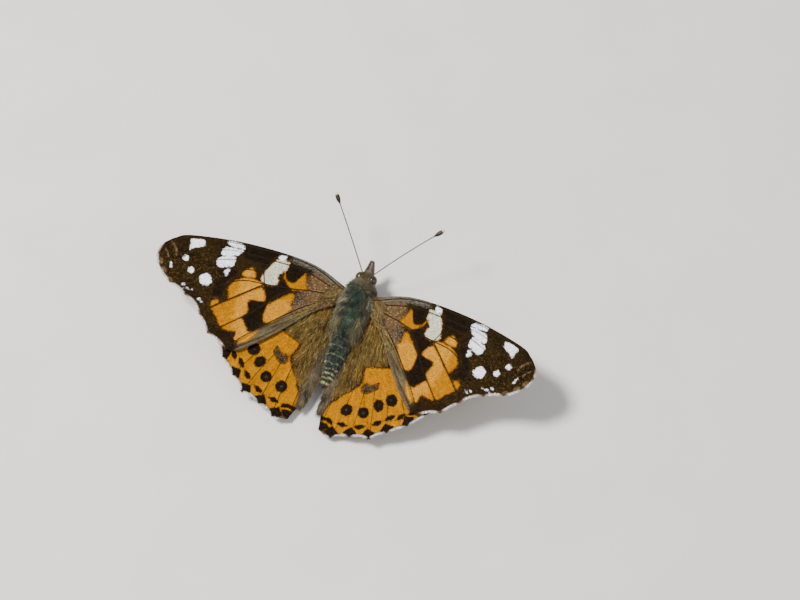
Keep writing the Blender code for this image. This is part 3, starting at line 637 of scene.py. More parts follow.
def new_finish(name, roughness, **constants):
    """A material with one shader, its constants set on the shader's own sockets."""
    finish = bpy.data.materials.new(name)
    finish.use_nodes = True
    shader = finish.node_tree.nodes["Principled BSDF"]
    shader.inputs["Roughness"].default_value = roughness
    for key, value in constants.items():
        shader.inputs[key.replace("_", " ")].default_value = value
    place = add_node(finish.node_tree, "ShaderNodeTexCoord").outputs["Object"]
    return finish, finish.node_tree, shader, place


def bump(tree, shader, height, strength, distance):
    """Tips the shader's normals by the slope of the height times the distance."""
    node = add_node(tree, "ShaderNodeBump", {"Height": height, "Strength": strength, "Distance": distance})
    tree.links.new(node.outputs[0], shader.inputs["Normal"])


# %% [markdown]
# Wing scales are about a tenth of a millimetre long and overlap in rows like roof tiles. A cell pattern in
# the wing's own UV map stands for them: each cell has three random numbers, which shift the edge of every
# patch scale by scale, darken or lighten the scale, and raise it a little. Coarser cells stand for flecks of
# several scales, and a noise drawn out along rays from the wing's root stands for the faint streaks. One
# finish serves all four wings, and reads from the attributes which patch and which side it is on. It is
# built as a painter would, in coats: a ground first, then what lies over it, and the rim last.

# %% The finish of the wings
def scale_cells(tree, across, along, randomness):
    """Cells in the wing's UV map: three random numbers for each, and the distance from its middle."""
    flat = add_node(tree, "ShaderNodeUVMap", uv_map="wing").outputs[0]
    counted = add_node(tree, "ShaderNodeMapping", {"Vector": flat, "Scale": (across, along, 1.0)}).outputs[0]
    cells = add_node(tree, "ShaderNodeTexVoronoi",
                     {"Vector": counted, "Scale": 1.0, "Randomness": randomness}, voronoi_dimensions="2D")
    numbers = add_node(tree, "ShaderNodeSeparateColor", {0: cells.outputs["Color"]}).outputs
    return numbers, cells.outputs["Distance"]


def wing_finish():
    """One colour for the upper side and one for the underside, both laid in coats, and the relief."""
    finish, tree, shader, place = new_finish("wing_scales", 0.85, Specular_IOR_Level=0.02)
    times, plus, minus = (partial(maths, tree, kind) for kind in ("MULTIPLY", "ADD", "SUBTRACT"))
    soft, tones, coats = (partial(helper, tree) for helper in (step, two_tones, coated))
    scale_tone, from_middle = scale_cells(tree, 340.0, 400.0, 0.85)
    fleck = scale_cells(tree, 235.0, 265.0, 1.0)[0]
    broad, speck = noise(tree, place, 420.0, 3.0), noise(tree, place, 3600.0, 2.0, 0.6)
    fine = noise(tree, place, 2600.0, 3.0, 0.6)
    ragged = plus(times(minus(scale_tone[0], 0.5), 0.2), times(minus(fine, 0.5), 0.7))
    orange, cream, white = field(tree, "marks")
    black, peach, rose = field(tree, "tones")
    olive, grey, edge_tone = field(tree, "dust")
    to_vein, to_margin, under = field(tree, "lines")
    rays = add_node(tree, "ShaderNodeAttribute", attribute_name="rays").outputs["Vector"]
    streak = noise(tree, rays, 1.0, 2.0)
    ray_numbers = field(tree, "rays")
    from_root, to_back = ray_numbers[0], ray_numbers[2]

    def inside(distance, softness=0.05, raggedness=1.0):
        """1 inside a patch and 0 outside it, with an edge that each scale shifts a little."""
        return soft(plus(distance, times(ragged, raggedness)), -softness, softness)

    def dusted(weight):
        """1 on the scales that the dusting reaches: more of them where the weight is larger."""
        return soft(plus(weight, times(minus(scale_tone[1], 0.5), 0.5)), 0.12, 0.88)

    # The rosy dusting of the base: a rosy brown, pale flecks that are painted glints of light on single
    # scales, and dark rays.
    rosy_dust_and_glints = coats(
        tones(times(plus(scale_tone[1], speck), 0.5), (56, 42, 26), (110, 84, 58)),
        (soft(fleck[1], 0.8, 1.0, 0.7), tint(150, 122, 88)),
        (soft(streak, 0.45, 0.8, 0.5), tint(96, 64, 14)))
    inner_edge = coats(
        tones(soft(streak, 0.35, 0.65), (64, 54, 34), (100, 90, 66)),
        (soft(speck, 0.4, 0.7, 0.6), tint(50, 40, 26)),
        (soft(from_root, 2.6, 1.2, 0.85), tones(fleck[0], (54, 46, 16), (136, 120, 56))),
        (soft(to_back, 0.35, 0.0, 0.4), tint(92, 90, 88)))
    glow = coats(
        tones(times(peach, soft(plus(peach, streak), 0.7, 1.2)), (156, 100, 0), (184, 128, 38)),
        (soft(streak, 0.45, 0.8, 0.5), tint(174, 115, 0)),
        (soft(scale_tone[1], 0.5, 1.0, 0.5), tint(140, 78, 0)),
        (soft(orange, 0.3, 0.0, 0.75), tint(112, 62, 4)))
    # Brown ground, gold flecks, rosy dusting with painted glints, inner edge, orange, black, grey dusting
    # with a painted sheen near the front edge, the cream bar's rim, the cream bar, veins, white marks,
    # thinner veins over the white, the dark rim and its reddish edge.
    upper = coats(
        tones(soft(broad, 0.35, 0.7), (36, 25, 8), (24, 16, 7)),
        (times(times(olive, soft(fleck[2], 0.7, 1.05)), 0.7), tint(82, 60, 26)),
        (times(dusted(rose), 0.92), rosy_dust_and_glints),
        (times(dusted(edge_tone), 0.9), inner_edge),
        (inside(orange, 0.12, 1.1), glow),
        (inside(black, 0.12, 0.7), tones(scale_tone[2], (14, 10, 6), (30, 21, 12))),
        # Grey dusting; along the forewing's front edge near the root it is partly the scales' own grey and
        # partly a painted sheen.
        (times(dusted(grey), 0.85),
         tones(times(plus(scale_tone[2], streak), 0.5), (40, 34, 22), (122, 116, 104))),
        (times(inside(plus(cream, 0.1), 0.1, 1.2), 0.8), tint(150, 92, 10)),
        (inside(cream, 0.1, 0.9), tones(scale_tone[1], (204, 200, 174), (162, 156, 134))),
        (times(inside(minus(0.07, to_vein), 0.03, 0.12), 0.85), tint(36, 22, 8)),
        (inside(white, 0.1, 0.9), tones(scale_tone[2], (224, 222, 236), (248, 248, 252))),
        (times(inside(minus(0.05, to_vein), 0.04, 0.15), 0.9), tint(36, 27, 20)),
        (inside(minus(0.26, to_margin), 0.06, 0.5), tint(40, 27, 14)),
        (times(inside(minus(0.09, to_margin), 0.05, 0.3), 0.7), tint(126, 88, 66)))

    buff = coats(tones(soft(broad, 0.4, 0.65), (93, 74, 49), (70, 54, 38)),
                 (times(rose, 0.7), tint(118, 98, 68)))
    pale_tip = tones(soft(broad, 0.35, 0.65), (150, 130, 96), (112, 92, 64))
    dark_marks = inside(black, 0.1)
    # Ground, rosy part, dark marks, blue-grey crescents, cream bands, white marks or eye-spots, pupils.
    lower = coats(
        mix(tree, olive, tint(52, 38, 27), mix(tree, grey, pale_tip, buff)),
        (inside(orange), tones(scale_tone[1], (176, 90, 50), (196, 108, 64))),
        (times(dark_marks, soft(olive, 1.0, 0.6)), tint(30, 20, 15)),
        (times(dark_marks, soft(olive, 0.6, 1.0)), tint(92, 100, 110)),
        (inside(cream, 0.08), tint(206, 186, 120)),
        (inside(white, 0.06, 0.3), tones(grey, (232, 228, 222), (176, 132, 60))),
        (times(soft(white, 0.18, 0.26), grey), tint(26, 24, 21)))

    colour, brightness = mix(tree, under, upper, lower), 0.13
    for tone, weight in ((scale_tone[2], 0.35), (speck, 0.7), (fleck[0], 0.4), (streak, 0.3)):
        brightness = plus(brightness, times(tone, weight))
    colour = add_node(tree, "ShaderNodeVectorMath", {0: colour, 3: brightness}, operation="SCALE").outputs[0]
    tree.links.new(colour, shader.inputs["Base Color"])
    bump(tree, shader, plus(times(minus(1.0, from_middle), 0.5), times(scale_tone[0], 0.6)), 0.45, 0.00004)
    return finish


WING_SCALES = wing_finish()
print("wing finish has", len(WING_SCALES.node_tree.nodes), "nodes")

# %% [markdown]
# The sheet of a wing has two faces, each pushed off the middle by half the thickness. The veins are tubes
# inside it and raise both faces, and between two veins the membrane sags a little, as a tent does between
# its poles. The inner edge of the hindwing is pressed against the abdomen, so points that would enter the
# abdomen slide out to its side.

# %% Make the four wings
THICKNESS = 0.07
VEIN_HEIGHT, VEIN_WIDTH, SAG = 0.055, 0.11, 0.10
ABDOMEN_FRONT, ABDOMEN_TIP = -4.9, -14.15
RINGS = np.array([0.10, 0.265, 0.435, 0.576, 0.675, 0.763, 0.834, 0.922])
BESIDE_FROM, BESIDE_LENGTH, BESIDE_HALF, BESIDE_EASE = 4.2, 10.2, 1.62, 0.12
RAY_CENTRE, RAY_LENGTH, RAY_COUNT = (-2.0, 0.5), 5.0, 34.0


def abdomen_taper(share):
    """How wide the abdomen still is: one, less 0.78 of a high power of the way to its tip."""
    return 1.0 - 0.78 * share**2.7


def beside_abdomen(points, side):
    """Moves points outwards to the abdomen's side by a soft maximum: half + log(1 + exp(out - half))."""
    back = points[..., 1] - STANCE[1]
    share = np.clip((back - BESIDE_FROM) / BESIDE_LENGTH, 0.0, 1.0)
    half = BESIDE_HALF * abdomen_taper(share) * ease(back, 3.0, 5.0)
    out = side * (points[..., 0] - STANCE[0])
    soft = half + np.log1p(np.exp((out - half) / BESIDE_EASE)) * BESIDE_EASE
    pushed = np.where(half > 0.05, soft, out)
    points = points.copy()
    points[..., 0] = STANCE[0] + side * np.where(out > half + 0.8, out, pushed)
    return points


def wing_uv(spots):
    """A wing's UV map: its own millimetres, forty to the width of the map, clear of its edge."""
    return spots / 40.0 + 0.1


def make_wing(wing, side):
    """Two faces pushed apart by the thickness and the veins' ridges, and a wall round their edge."""
    along, across = wing["count"]
    spots = wing["flat"].reshape(-1, 2)
    u, v = spots.T
    ridge = VEIN_HEIGHT * np.exp(-(wing["to_vein"] / VEIN_WIDTH) ** 2)
    sag = SAG * ease(wing["to_vein"], 0.0, 1.1) * ease(wing["to_margin"], 0.0, 1.5)
    middle = wing["level"] - sag
    top, base = (beside_abdomen(wing_place(u, v, height, side, wing), side)
                 for height in (middle + THICKNESS / 2 + ridge, middle - THICKNESS / 2 - ridge))
    count = len(u)
    sheet = grid_faces(along, across)
    number = np.arange(count).reshape(along, across)
    rim = np.concatenate([number[:, 0], number[-1, 1:], number[-2::-1, -1], number[0, -2::-1]])
    wall = np.stack([rim[1:], rim[:-1], rim[:-1] + count, rim[1:] + count], axis=1)
    fields = {key: np.concatenate([np.stack(wing[face][key], 1) for face in ("upper", "under")])
              for key in ("marks", "tones", "dust")}
    vein_shift = 0.1 * (1.0 - ease(v, 13.0, 15.5)) if wing is HINDWING else -0.025
    to_rim = wing["to_margin"] + wing["pale_rim"]
    lines = np.stack([wing["to_vein"] + vein_shift, to_rim, np.zeros(count)], axis=1)
    fields["lines"] = np.concatenate([lines, lines + [0.0, 0.0, 1.0]])
    reach, lean = polar(u, v, RAY_CENTRE)
    rays = np.stack([reach / RAY_LENGTH, lean * RAY_COUNT, wing["to_back"]], axis=1)
    fields["rays"] = np.tile(rays, (2, 1))
    name = wing["name"] + "_" + SIDES[side]
    piece = make_piece(name + "_sheet", np.concatenate([top, base]), [sheet, sheet[:, ::-1] + count, wall],
                       fields, ("wing", np.tile(wing_uv(spots), (2, 1))))
    return fit_out(piece, WING_SCALES, [name])


for side in SIDES:
    make_wing(FOREWING, side)
    make_wing(HINDWING, side)

# %% [markdown]
# The body is one skin from the face to the tip of the abdomen, so that no seam shows at the neck or at the
# waist. It is a ring carried along the body's axis. Each ring has its own half width, rise and depth: the
# thorax swells like an egg, the abdomen tapers in nine rings that overlap, and the head is flat at the
# sides where the eyes sit. The skin lies inside the model by the depth of the fur.

# %% The body's profile
AXIS = np.concatenate([np.linspace(-14.06, -4.7, 150), np.linspace(-4.62, 3.9, 110),
                       np.linspace(3.97, 5.9, 36)])
WAIST, NECK = -4.6, 3.75


def egg(forward, rear, front, rear_end, front_end, middle):
    """A swelling between two flat ends: the end's radius, plus the rest times a half circle."""
    t = np.clip(2.0 * (forward - rear) / (front - rear) - 1.0, -1.0, 1.0)
    end = rear_end + (front_end - rear_end) * (t + 1.0) / 2.0
    return end + (middle - end) * np.sqrt(1.0 - t * t)


def soften(values, forward, reach):
    """Each value replaced by the average of its neighbours, weighted by a bell of the given reach."""
    bell = np.exp(-0.5 * ((forward[:, None] - forward[None]) / reach) ** 2) * np.gradient(forward)[None]
    return (bell @ values) / bell.sum(axis=1)


def along_abdomen(forward):
    """Share of the way from the abdomen's front to its tip."""
    return np.clip((forward - ABDOMEN_FRONT) / (ABDOMEN_TIP - ABDOMEN_FRONT), 0.0, 1.0)


def body_profile(forward):
    """Half width, rise and depth of the skin at each place along the axis."""
    chest = [egg(forward, WAIST, 3.7, 1.2, .7, middle) for middle in (2.05, 2.1, 1.85)]
    face = egg(forward, 3.6, 5.95, .7, .05, 1.02)
    a = along_abdomen(forward)
    edges = np.concatenate([[0.0], RINGS, [1.0]])
    segment = np.clip(np.searchsorted(edges, a, side="right") - 1, 0, len(edges) - 2)
    ring = (a - edges[segment]) / (edges[segment + 1] - edges[segment])
    ripple = 1.0 + 0.07 * (ring - 0.6) * ease(a, 0.02, 0.1)
    taper = abdomen_taper(a) * (0.93 + 0.07 * np.sin(np.pi * np.minimum(1.0, a / 0.6)))
    closing = np.sqrt(np.clip(1.0 - ((a - 0.93) / 0.07) ** 2, 0.0, 1.0))
    closing = np.where(a > 0.93, closing, 1.0)
    sizes = []
    for chest_size, belly_size in zip(chest, (1.66, 1.5, 1.5)):
        size = np.where(forward < WAIST, belly_size * taper * ripple * closing, chest_size)
        sizes.append(np.where(forward > NECK, face, size))
    sizes[0] = np.where(forward > 3.9, np.minimum(sizes[0], 0.8), sizes[0])
    return [np.where(forward < -6.0, size, soften(size, forward, 0.16)) for size in sizes]


half_width, rise, depth = body_profile(AXIS)
print("widest skin, mm:", half_width.max().round(2), "rise:", rise.max().round(2))

# %% [markdown]
# Skin and fur share one colour rule, a function of the place on the body, so that no fur stands out against
# the skin below it. The thorax is dark blue-green in the middle, partly its hair's own colour and partly a
# painted sheen, and olive grey at the sides, the collar and the head are tan, and the abdomen is dark
# grey-green above and tan below.

# %% Colours of the body by place
def linear(*colour):
    """A screen colour as three numbers of linear light."""
    return np.array(tint(*colour)[:3])


def clumps(x, y, seed):
    """Smooth random numbers between 0 and 1 on a lattice: each the blend of the four corners around it."""
    table = np.random.default_rng(seed).uniform(size=(128, 128))
    x0, y0 = np.floor(x).astype(int), np.floor(y).astype(int)
    fx, fy = x - x0, y - y0
    fx, fy = fx * fx * (3 - 2 * fx), fy * fy * (3 - 2 * fy)
    near = table[x0 % 128, y0 % 128] * (1 - fx) + table[(x0 + 1) % 128, y0 % 128] * fx
    far = table[x0 % 128, (y0 + 1) % 128] * (1 - fx) + table[(x0 + 1) % 128, (y0 + 1) % 128] * fx
    return near * (1 - fy) + far * fy


def blended(share, under, over):
    """The colour under times one less the share, plus the colour over times the share."""
    return under * (1.0 - share[..., None]) + over * share[..., None]


def shaded(ground, *coats):
    """A ground colour with coats laid over it in turn, each a share at every place and a colour."""
    colour = linear(*ground)
    for share, coat in coats:
        colour = blended(share, colour, linear(*coat))
    return colour


def body_colour(forward, out, up):
    """Linear colour at a place: bands along the axis, shaded from the back to the sides and the belly."""
    blotch = clumps(forward * 1.3 + 40, out * 1.5 + 40, 3)
    # The blue-green of the back is partly the hair's own colour and partly a painted sheen.
    chest = shaded((49, 67, 60), (blotch * 0.6, (96, 104, 80)),
                   (ease(np.abs(out) + 0.9 * (blotch - 0.5), 0.75, 1.75), (118, 110, 84)),
                   (ease(forward + 0.8 * (blotch - 0.5), 2.2, 3.4), (126, 112, 82)),
                   (ease(-up, 0.0, 1.2), (132, 118, 92)))
    belly = shaded((48, 60, 53), (blotch * 0.6, (86, 92, 76)),
                   (ease(np.abs(out), 0.9, 1.6) * 0.6, (92, 84, 62)),
                   (ease(-up, 0.0, 0.9), (160, 142, 104)),
                   (ease(along_abdomen(forward), 0.95, 0.99), (52, 44, 34)))
    face = shaded((116, 104, 76), (ease(np.abs(out), 0.3, 0.8), (138, 126, 98)))
    colour = blended(ease(forward, -4.2, -5.2), chest, belly)
    return blended(ease(forward, 3.7, 4.1), colour, face)


print("linear colour of the back:", body_colour(*np.array([[0.0], [0.0], [2.0]])).round(3))

# %% [markdown]
# The skin could be three shells, one for each part of the body, but a single one has no gaps to hide. Its
# rings are numbered from the tip of the abdomen to the face, and a fan closes each end. It is unwrapped like
# a paper tube: once round the body across, and along the body upwards.

# %% The skin in one piece
def ring_points(forward, half_width, rise, depth, angle):
    """Ellipses that are as high as the rise above the axis and as deep as the depth below it."""
    up = np.where(np.sin(angle) > 0.0, rise, depth) * np.sin(angle)
    return np.stack([half_width * np.cos(angle), forward + 0.0 * angle, up], axis=-1)


AROUND = 112
angles = np.linspace(0.0, 2.0 * np.pi, AROUND, endpoint=False)
skin = ring_points(AXIS[:, None], half_width[:, None], rise[:, None], depth[:, None], angles[None])
tips = [[0.0, AXIS[0] - 0.03, 0.0], [0.0, AXIS[-1] + 0.03, 0.0]]
skin_points = np.concatenate([skin.reshape(-1, 3), tips])
tone = body_colour(skin_points[:, 1], skin_points[:, 0], skin_points[:, 2])


def unwrapped(forward, angle):
    """Place on the skin laid flat: once round the body across, and from the tip to the face upwards."""
    across = np.mod(angle, 2.0 * np.pi) / (2.0 * np.pi) * 0.98 + 0.01
    along = np.interp(forward, AXIS, np.linspace(0.01, 0.99, len(AXIS)))
    return np.stack(np.broadcast_arrays(across, along), axis=-1)


ring_uv = unwrapped(AXIS[:, None], angles[None]).reshape(-1, 2)
skin_uv = np.concatenate([ring_uv, [[0.5, 0.005], [0.5, 0.995]]])


def fur_finish(name, roughness, streaks):
    """Colour from the piece's own attribute, varied hair by hair, with a fine lengthwise grain."""
    finish, tree, shader, place = new_finish(name, roughness, Specular_IOR_Level=0.18,
                                             Sheen_Weight=0.06, Sheen_Roughness=0.4)
    tone = add_node(tree, "ShaderNodeAttribute", attribute_name="tone").outputs["Vector"]
    grain = noise(tree, place, streaks, 3.0, 0.6)
    dark = mix(tree, 1.0, tone, (0.45, 0.42, 0.4, 1.0), blend_type="MULTIPLY")
    tree.links.new(mix(tree, step(tree, grain, 0.38, 0.66), dark, tone), shader.inputs["Base Color"])
    bump(tree, shader, grain, 0.5, 0.00004)
    return finish


SKIN_FINISH = fur_finish("body_skin", 0.7, 9000.0)
FUR_FINISH = fur_finish("body_fur", 0.55, 5000.0)
body = make_piece("body_skin", body_place(skin_points), closed_tube(len(AXIS), AROUND), {"tone": tone},
                  ("skin", skin_uv))
fit_out(body, SKIN_FINISH, ["thorax", "head", "abdomen"])

# %% [markdown]
# Fur could be particle hair, but an exported model loses that, so each lock of hair is a small closed spike
# of ten triangles: a flat triangle at the root, another outline halfway, and a tip. All the locks of a patch
# are worked out together. Each has a root on the skin, a direction along the lie of the coat and a lift, and
# its colour comes from the colour rule at its root. Its place in the UV map is a tiny patch at its root's
# place, so that a baked picture keeps each lock's own colour.

# %% Locks of hair as one mesh
CURL = 0.35
PATCH_SIZE = 0.0015


def make_locks(name, roots, lie, facing, length, width, lift, colour, root_uv):
    """Spikes: the root, a middle pushed off the skin by the lift, and a tip that curls back to it."""
    side_way = np.cross(lie, facing)
    length, width, lift = (np.broadcast_to(value, len(roots))[:, None] for value in (length, width, lift))
    sway = side_way * length * rng.normal(0.0, 0.08, (len(roots), 1))
    middle = roots + lie * length * 0.5 + facing * length * lift + sway
    tip = roots + lie * length + facing * length * lift * (2.0 - 2.0 * CURL) + sway * 2.5
    corner = [side_way * 0.5, side_way * -0.5, facing * 0.45]
    low = [roots - facing * 0.06 * width + part * width for part in corner]
    high = [middle + part * width * 0.72 for part in corner]
    points = np.stack([*low, *high, tip], axis=1)
    number = 7 * np.arange(len(roots))[:, None]
    base = number + [[0, 2, 1]]
    walls = np.concatenate([number + [[k, (k + 1) % 3, 3 + (k + 1) % 3, 3 + k]] for k in range(3)])
    peak = np.concatenate([number + [[3 + k, 3 + (k + 1) % 3, 6]] for k in range(3)])
    # Painted shade: every lock is darker at its root, where the coat around it shades it, and lighter toward
    # its tip, where the light reaches.
    shade = np.array([0.62, 0.62, 0.7, 0.9, 0.9, 1.0, 1.15])[None, :, None]
    tone = colour[:, None] * shade * rng.uniform(0.55, 1.55, (len(roots), 1, 1))
    turn = np.radians([90, 210, 330, 90, 210, 330, 0])
    spread = PATCH_SIZE * np.array([1, 1, 1, .55, .55, .55, 0])
    spot = np.stack([np.cos(turn), np.sin(turn)], axis=1) * spread[:, None]
    uv = root_uv[:, None] + spot[None]
    return make_piece(name, points.reshape(-1, 3), [base, walls, peak], {"tone": tone.reshape(-1, 3)},
                      ("OFBake", uv.reshape(-1, 2)), smooth=False)


def unit(vectors):
    """Each vector divided by its own length."""
    return vectors / np.maximum(np.linalg.norm(vectors, axis=-1, keepdims=True), 1e-9)


# %% [markdown]
# A butterfly's fur differs from place to place: long and ruffled on the thorax, upright at the collar,
# swept out at the shoulders and the rear, short on the head, and flat scales on the abdomen. One rule makes
# them all. It strews roots evenly over a stretch of the skin and lays the locks back along it. Smooth random
# numbers darken some strands and lighten others, because even fur looks like felt.

# %% Fur on the body
def skin_at(forward, angle):
    """A place on the skin, its outward direction, and the way to the rear along it."""
    def spot(forward, angle):
        """The point at an angle round the ring that the profile has at a place on the axis."""
        size = [np.interp(forward, AXIS, values) for values in (half_width, rise, depth)]
        return ring_points(forward, *size, angle)

    here, behind, beside = spot(forward, angle), spot(forward - 0.05, angle), spot(forward, angle + 0.02)
    rearwards = unit(behind - here)
    outwards = unit(np.cross(beside - here, rearwards))
    outwards *= np.sign(np.sum(outwards * (here - [0, 1, 0] * here), axis=-1, keepdims=True) + 1e-9)
    return here, outwards, rearwards


def turned(points, vectors):
    """Directions carried into the frame with the body: the difference of two placed points."""
    return unit(body_place(points + vectors) - body_place(points))


def body_fur(name, low, high, amount, length, width, lift, ruffle=0.18, arc=(0.0, 2 * np.pi),
             lean=(-1.0, 0.0), dye=None):
    """Locks spread over an arc of the skin from low to high; lean is (forward, out to the side)."""
    weight = half_width * ((AXIS > low) & (AXIS < high)) * np.gradient(AXIS)
    forward = np.interp(rng.uniform(size=amount), np.cumsum(weight) / weight.sum(), AXIS)
    angle = rng.uniform(*arc, amount)
    here, outwards, rearwards = skin_at(forward, angle)
    sideways = np.cross(outwards, rearwards)
    away = here * [1.0, 0.0, 0.0] / 2.0
    lie = -rearwards * lean[0] + away * lean[1] + sideways * rng.normal(0.0, ruffle, (amount, 1))
    lie = unit(lie - outwards * np.sum(lie * outwards, axis=1, keepdims=True))
    colour = body_colour(forward, here[:, 0], here[:, 2])
    if dye is not None:
        colour = blended(rng.uniform(0.4, 1.0, amount), colour, linear(*dye))
    strands = 0.15 + 1.75 * clumps(forward * 1.2 + 60, angle * 11.0, 8) ** 1.2
    strands *= 0.3 + 1.4 * clumps(forward * 3.2 + 30, angle * 14.0 + 10, 9)
    colour = colour * strands[:, None]
    facing = turned(here, outwards)
    lie = turned(here, lie)
    spread = rng.uniform(0.7, 1.15, amount)
    width = width * rng.uniform(.7, 1.3, amount)
    lift = lift * rng.uniform(0.6, 1.4, amount)
    piece = make_locks(name, body_place(here), lie, facing, length * spread, width, lift, colour,
                       unwrapped(forward, angle))
    return fit_out(piece, FUR_FINISH)


UPPER_ARC = (-0.5, np.pi + 0.5)
body_fur("thorax_fur", -5.1, 3.85, 16000, 1.1, 0.085, 0.32, 0.4)
body_fur("collar_fur", 2.7, 4.0, 4000, 0.95, 0.07, 0.6, 0.5, UPPER_ARC, (0.15, 0.9))
for name, arc in (("left", (0.2, 0.9)), ("right", (np.pi - 0.9, np.pi - 0.2))):
    body_fur(f"rear_{name}_fur", -4.6, -2.2, 1300, 2.2, 0.085, 0.25, 0.35, arc, (-1.0, 0.7),
             (112, 102, 70))
    body_fur(f"shoulder_{name}_fur", -3.6, 2.6, 2200, 1.3, 0.085, 0.4, 0.45, arc, (-0.7, 0.8),
             (112, 106, 82))
    body_fur(f"tuft_{name}_fur", 0.2, 1.4, 110, 1.1, 0.09, 0.6, 0.6, arc, (-0.5, 0.8),
             (182, 176, 160))
body_fur("head_fur", 3.6, 5.7, 6500, 0.58, 0.055, 0.55, 0.5)
body_fur("face_fur", 5.0, 5.95, 3200, 0.4, 0.045, 0.45, 0.6, (0.0, 2 * np.pi), (1.0, 0.3))
body_fur("abdomen_scales", -14.0, -4.7, 13000, 0.42, 0.09, 0.28, 0.3)

# %% [markdown]
# The skin ends in a small flat disc at the front of the face, which no ring of the fur reaches. Locks strewn
# over the disc cover it. They point down and outwards, as the short hair of a butterfly's face does.

# %% Short hair on the front of the face
FACE_RADIUS = 0.42
spots = rng.uniform(-FACE_RADIUS, FACE_RADIUS, (900, 2))
spots = spots[np.hypot(*spots.T) < FACE_RADIUS]
out, up = spots.T
here = np.stack([out, np.full(len(out), AXIS[-1]), up], axis=1)
lie = unit(np.stack([out, np.full(len(out), 0.15), up - 0.45], axis=1) + rng.normal(0.0, 0.12, here.shape))
ahead = np.broadcast_to([0.0, 1.0, 0.0], here.shape)
colour = body_colour(AXIS[-1] + 0.0 * out, out, up) * rng.uniform(0.6, 1.3, (len(out), 1))
brow = make_locks("brow_fur", body_place(here), turned(here, lie), turned(here, ahead),
                  rng.uniform(0.25, 0.4, len(out)), 0.045, 0.3, colour, 0.5 + 0.48 * spots / FACE_RADIUS)
fit_out(brow, FUR_FINISH)

# %% [markdown]
# Each segment of the abdomen ends in a thin row of pale scales: bluish near the thorax, cream and broader
# toward the tip. The row is ragged, so it is made of pale locks rooted along a wavering line round the body.

# %% Pale rings of the abdomen
ring_pick = rng.integers(0, len(RINGS), 4400)
angle = rng.uniform(*UPPER_ARC, len(ring_pick))
waver = 0.03 * (clumps(angle * 3.0 + 9, ring_pick * 7.0, 5) - 0.5) + rng.normal(0.0, 0.0035, len(ring_pick))
forward = ABDOMEN_FRONT + (ABDOMEN_TIP - ABDOMEN_FRONT) * (RINGS[ring_pick] + waver - 0.012)
present = rng.uniform(size=len(ring_pick)) < 0.1 + 1.1 * clumps(angle * 4.0, ring_pick * 5.0 + 3, 6)
ring_pick, angle, forward = ring_pick[present], angle[present], forward[present]
here, outwards, rearwards = skin_at(forward, angle)
here = here + outwards * 0.06
lie = unit(rearwards + np.cross(outwards, rearwards) * rng.normal(0.0, 0.5, (len(angle), 1)))
colour = shaded((136, 142, 124), (ring_pick / (len(RINGS) - 1.0), (214, 196, 140)))
rings = make_locks("abdomen_rings", body_place(here), turned(here, lie), turned(here, outwards),
                   0.26 + 0.02 * ring_pick, 0.06, 0.22, colour, unwrapped(forward, angle))
fit_out(rings, FUR_FINISH)

# %% [markdown]
# The wing bases are hairy too. Brown hair runs back over the base of the hindwing and down its folded inner
# edge, and shorter hair covers the root of the forewing. These locks lie flat on the wing, so they are made
# by the same rule, with their roots drawn inside an outline on the wing.

# %% Hair on the wing bases
def wing_hair(wing, side, outline, amount, length, width, lift, inner_colour, outer_colour, aim, layer):
    """Locks with roots strewn inside an outline, each pointing away from the aim point."""
    def place(spots, height):
        """Flat spots of the wing, carried into the frame at a height."""
        return wing_place(spots[:, 0], spots[:, 1], height, side, wing)

    outline = np.asarray(outline, float)
    low, high = outline.min(axis=0), outline.max(axis=0)
    roots = rng.uniform(low, high, (amount * 4, 2))
    depth_in = patch(roots, outline)
    keep = depth_in > rng.uniform(0.0, 0.7, len(roots)) - 0.1
    roots, depth_in = roots[keep][:amount], depth_in[keep][:amount]
    heading = unit(roots - np.asarray(aim, float)) + rng.normal(0.0, 0.09, roots.shape)
    level = wing["level"] + 0.03
    start = beside_abdomen(place(roots, level), side)
    lie = unit(beside_abdomen(place(roots + heading * 0.2, level), side) - start)
    facing = unit(place(roots, level + 1.0) - place(roots, level))
    colour = shaded(outer_colour, (ease(depth_in, 0.0, 2.2), inner_colour))
    reach, lean = polar(*roots.T, aim)
    strands = 0.6 * clumps(reach / 1.6 + 20, lean * 60.0 + 200, 4)
    strands += 0.4 * clumps(reach / 0.7 + 50, lean * 150.0 + 500, 5)
    colour = colour * (0.1 + 2.5 * strands**1.5)[:, None]
    glint_share = 0.1 if length < 2.0 else 0.02
    colour = np.where(rng.uniform(size=(len(roots), 1)) < glint_share, linear(182, 156, 92), colour)
    size = length * rng.uniform(0.6, 1.2, len(roots)) * (0.45 + 0.55 * ease(depth_in, 0.0, 1.4))
    piece = make_locks(f"{wing['name']}_{SIDES[side]}_{layer}", start, lie, facing, size, width,
                       lift * rng.uniform(0.3, 1.5, len(roots)), colour, wing_uv(roots))
    return fit_out(piece, FUR_FINISH)


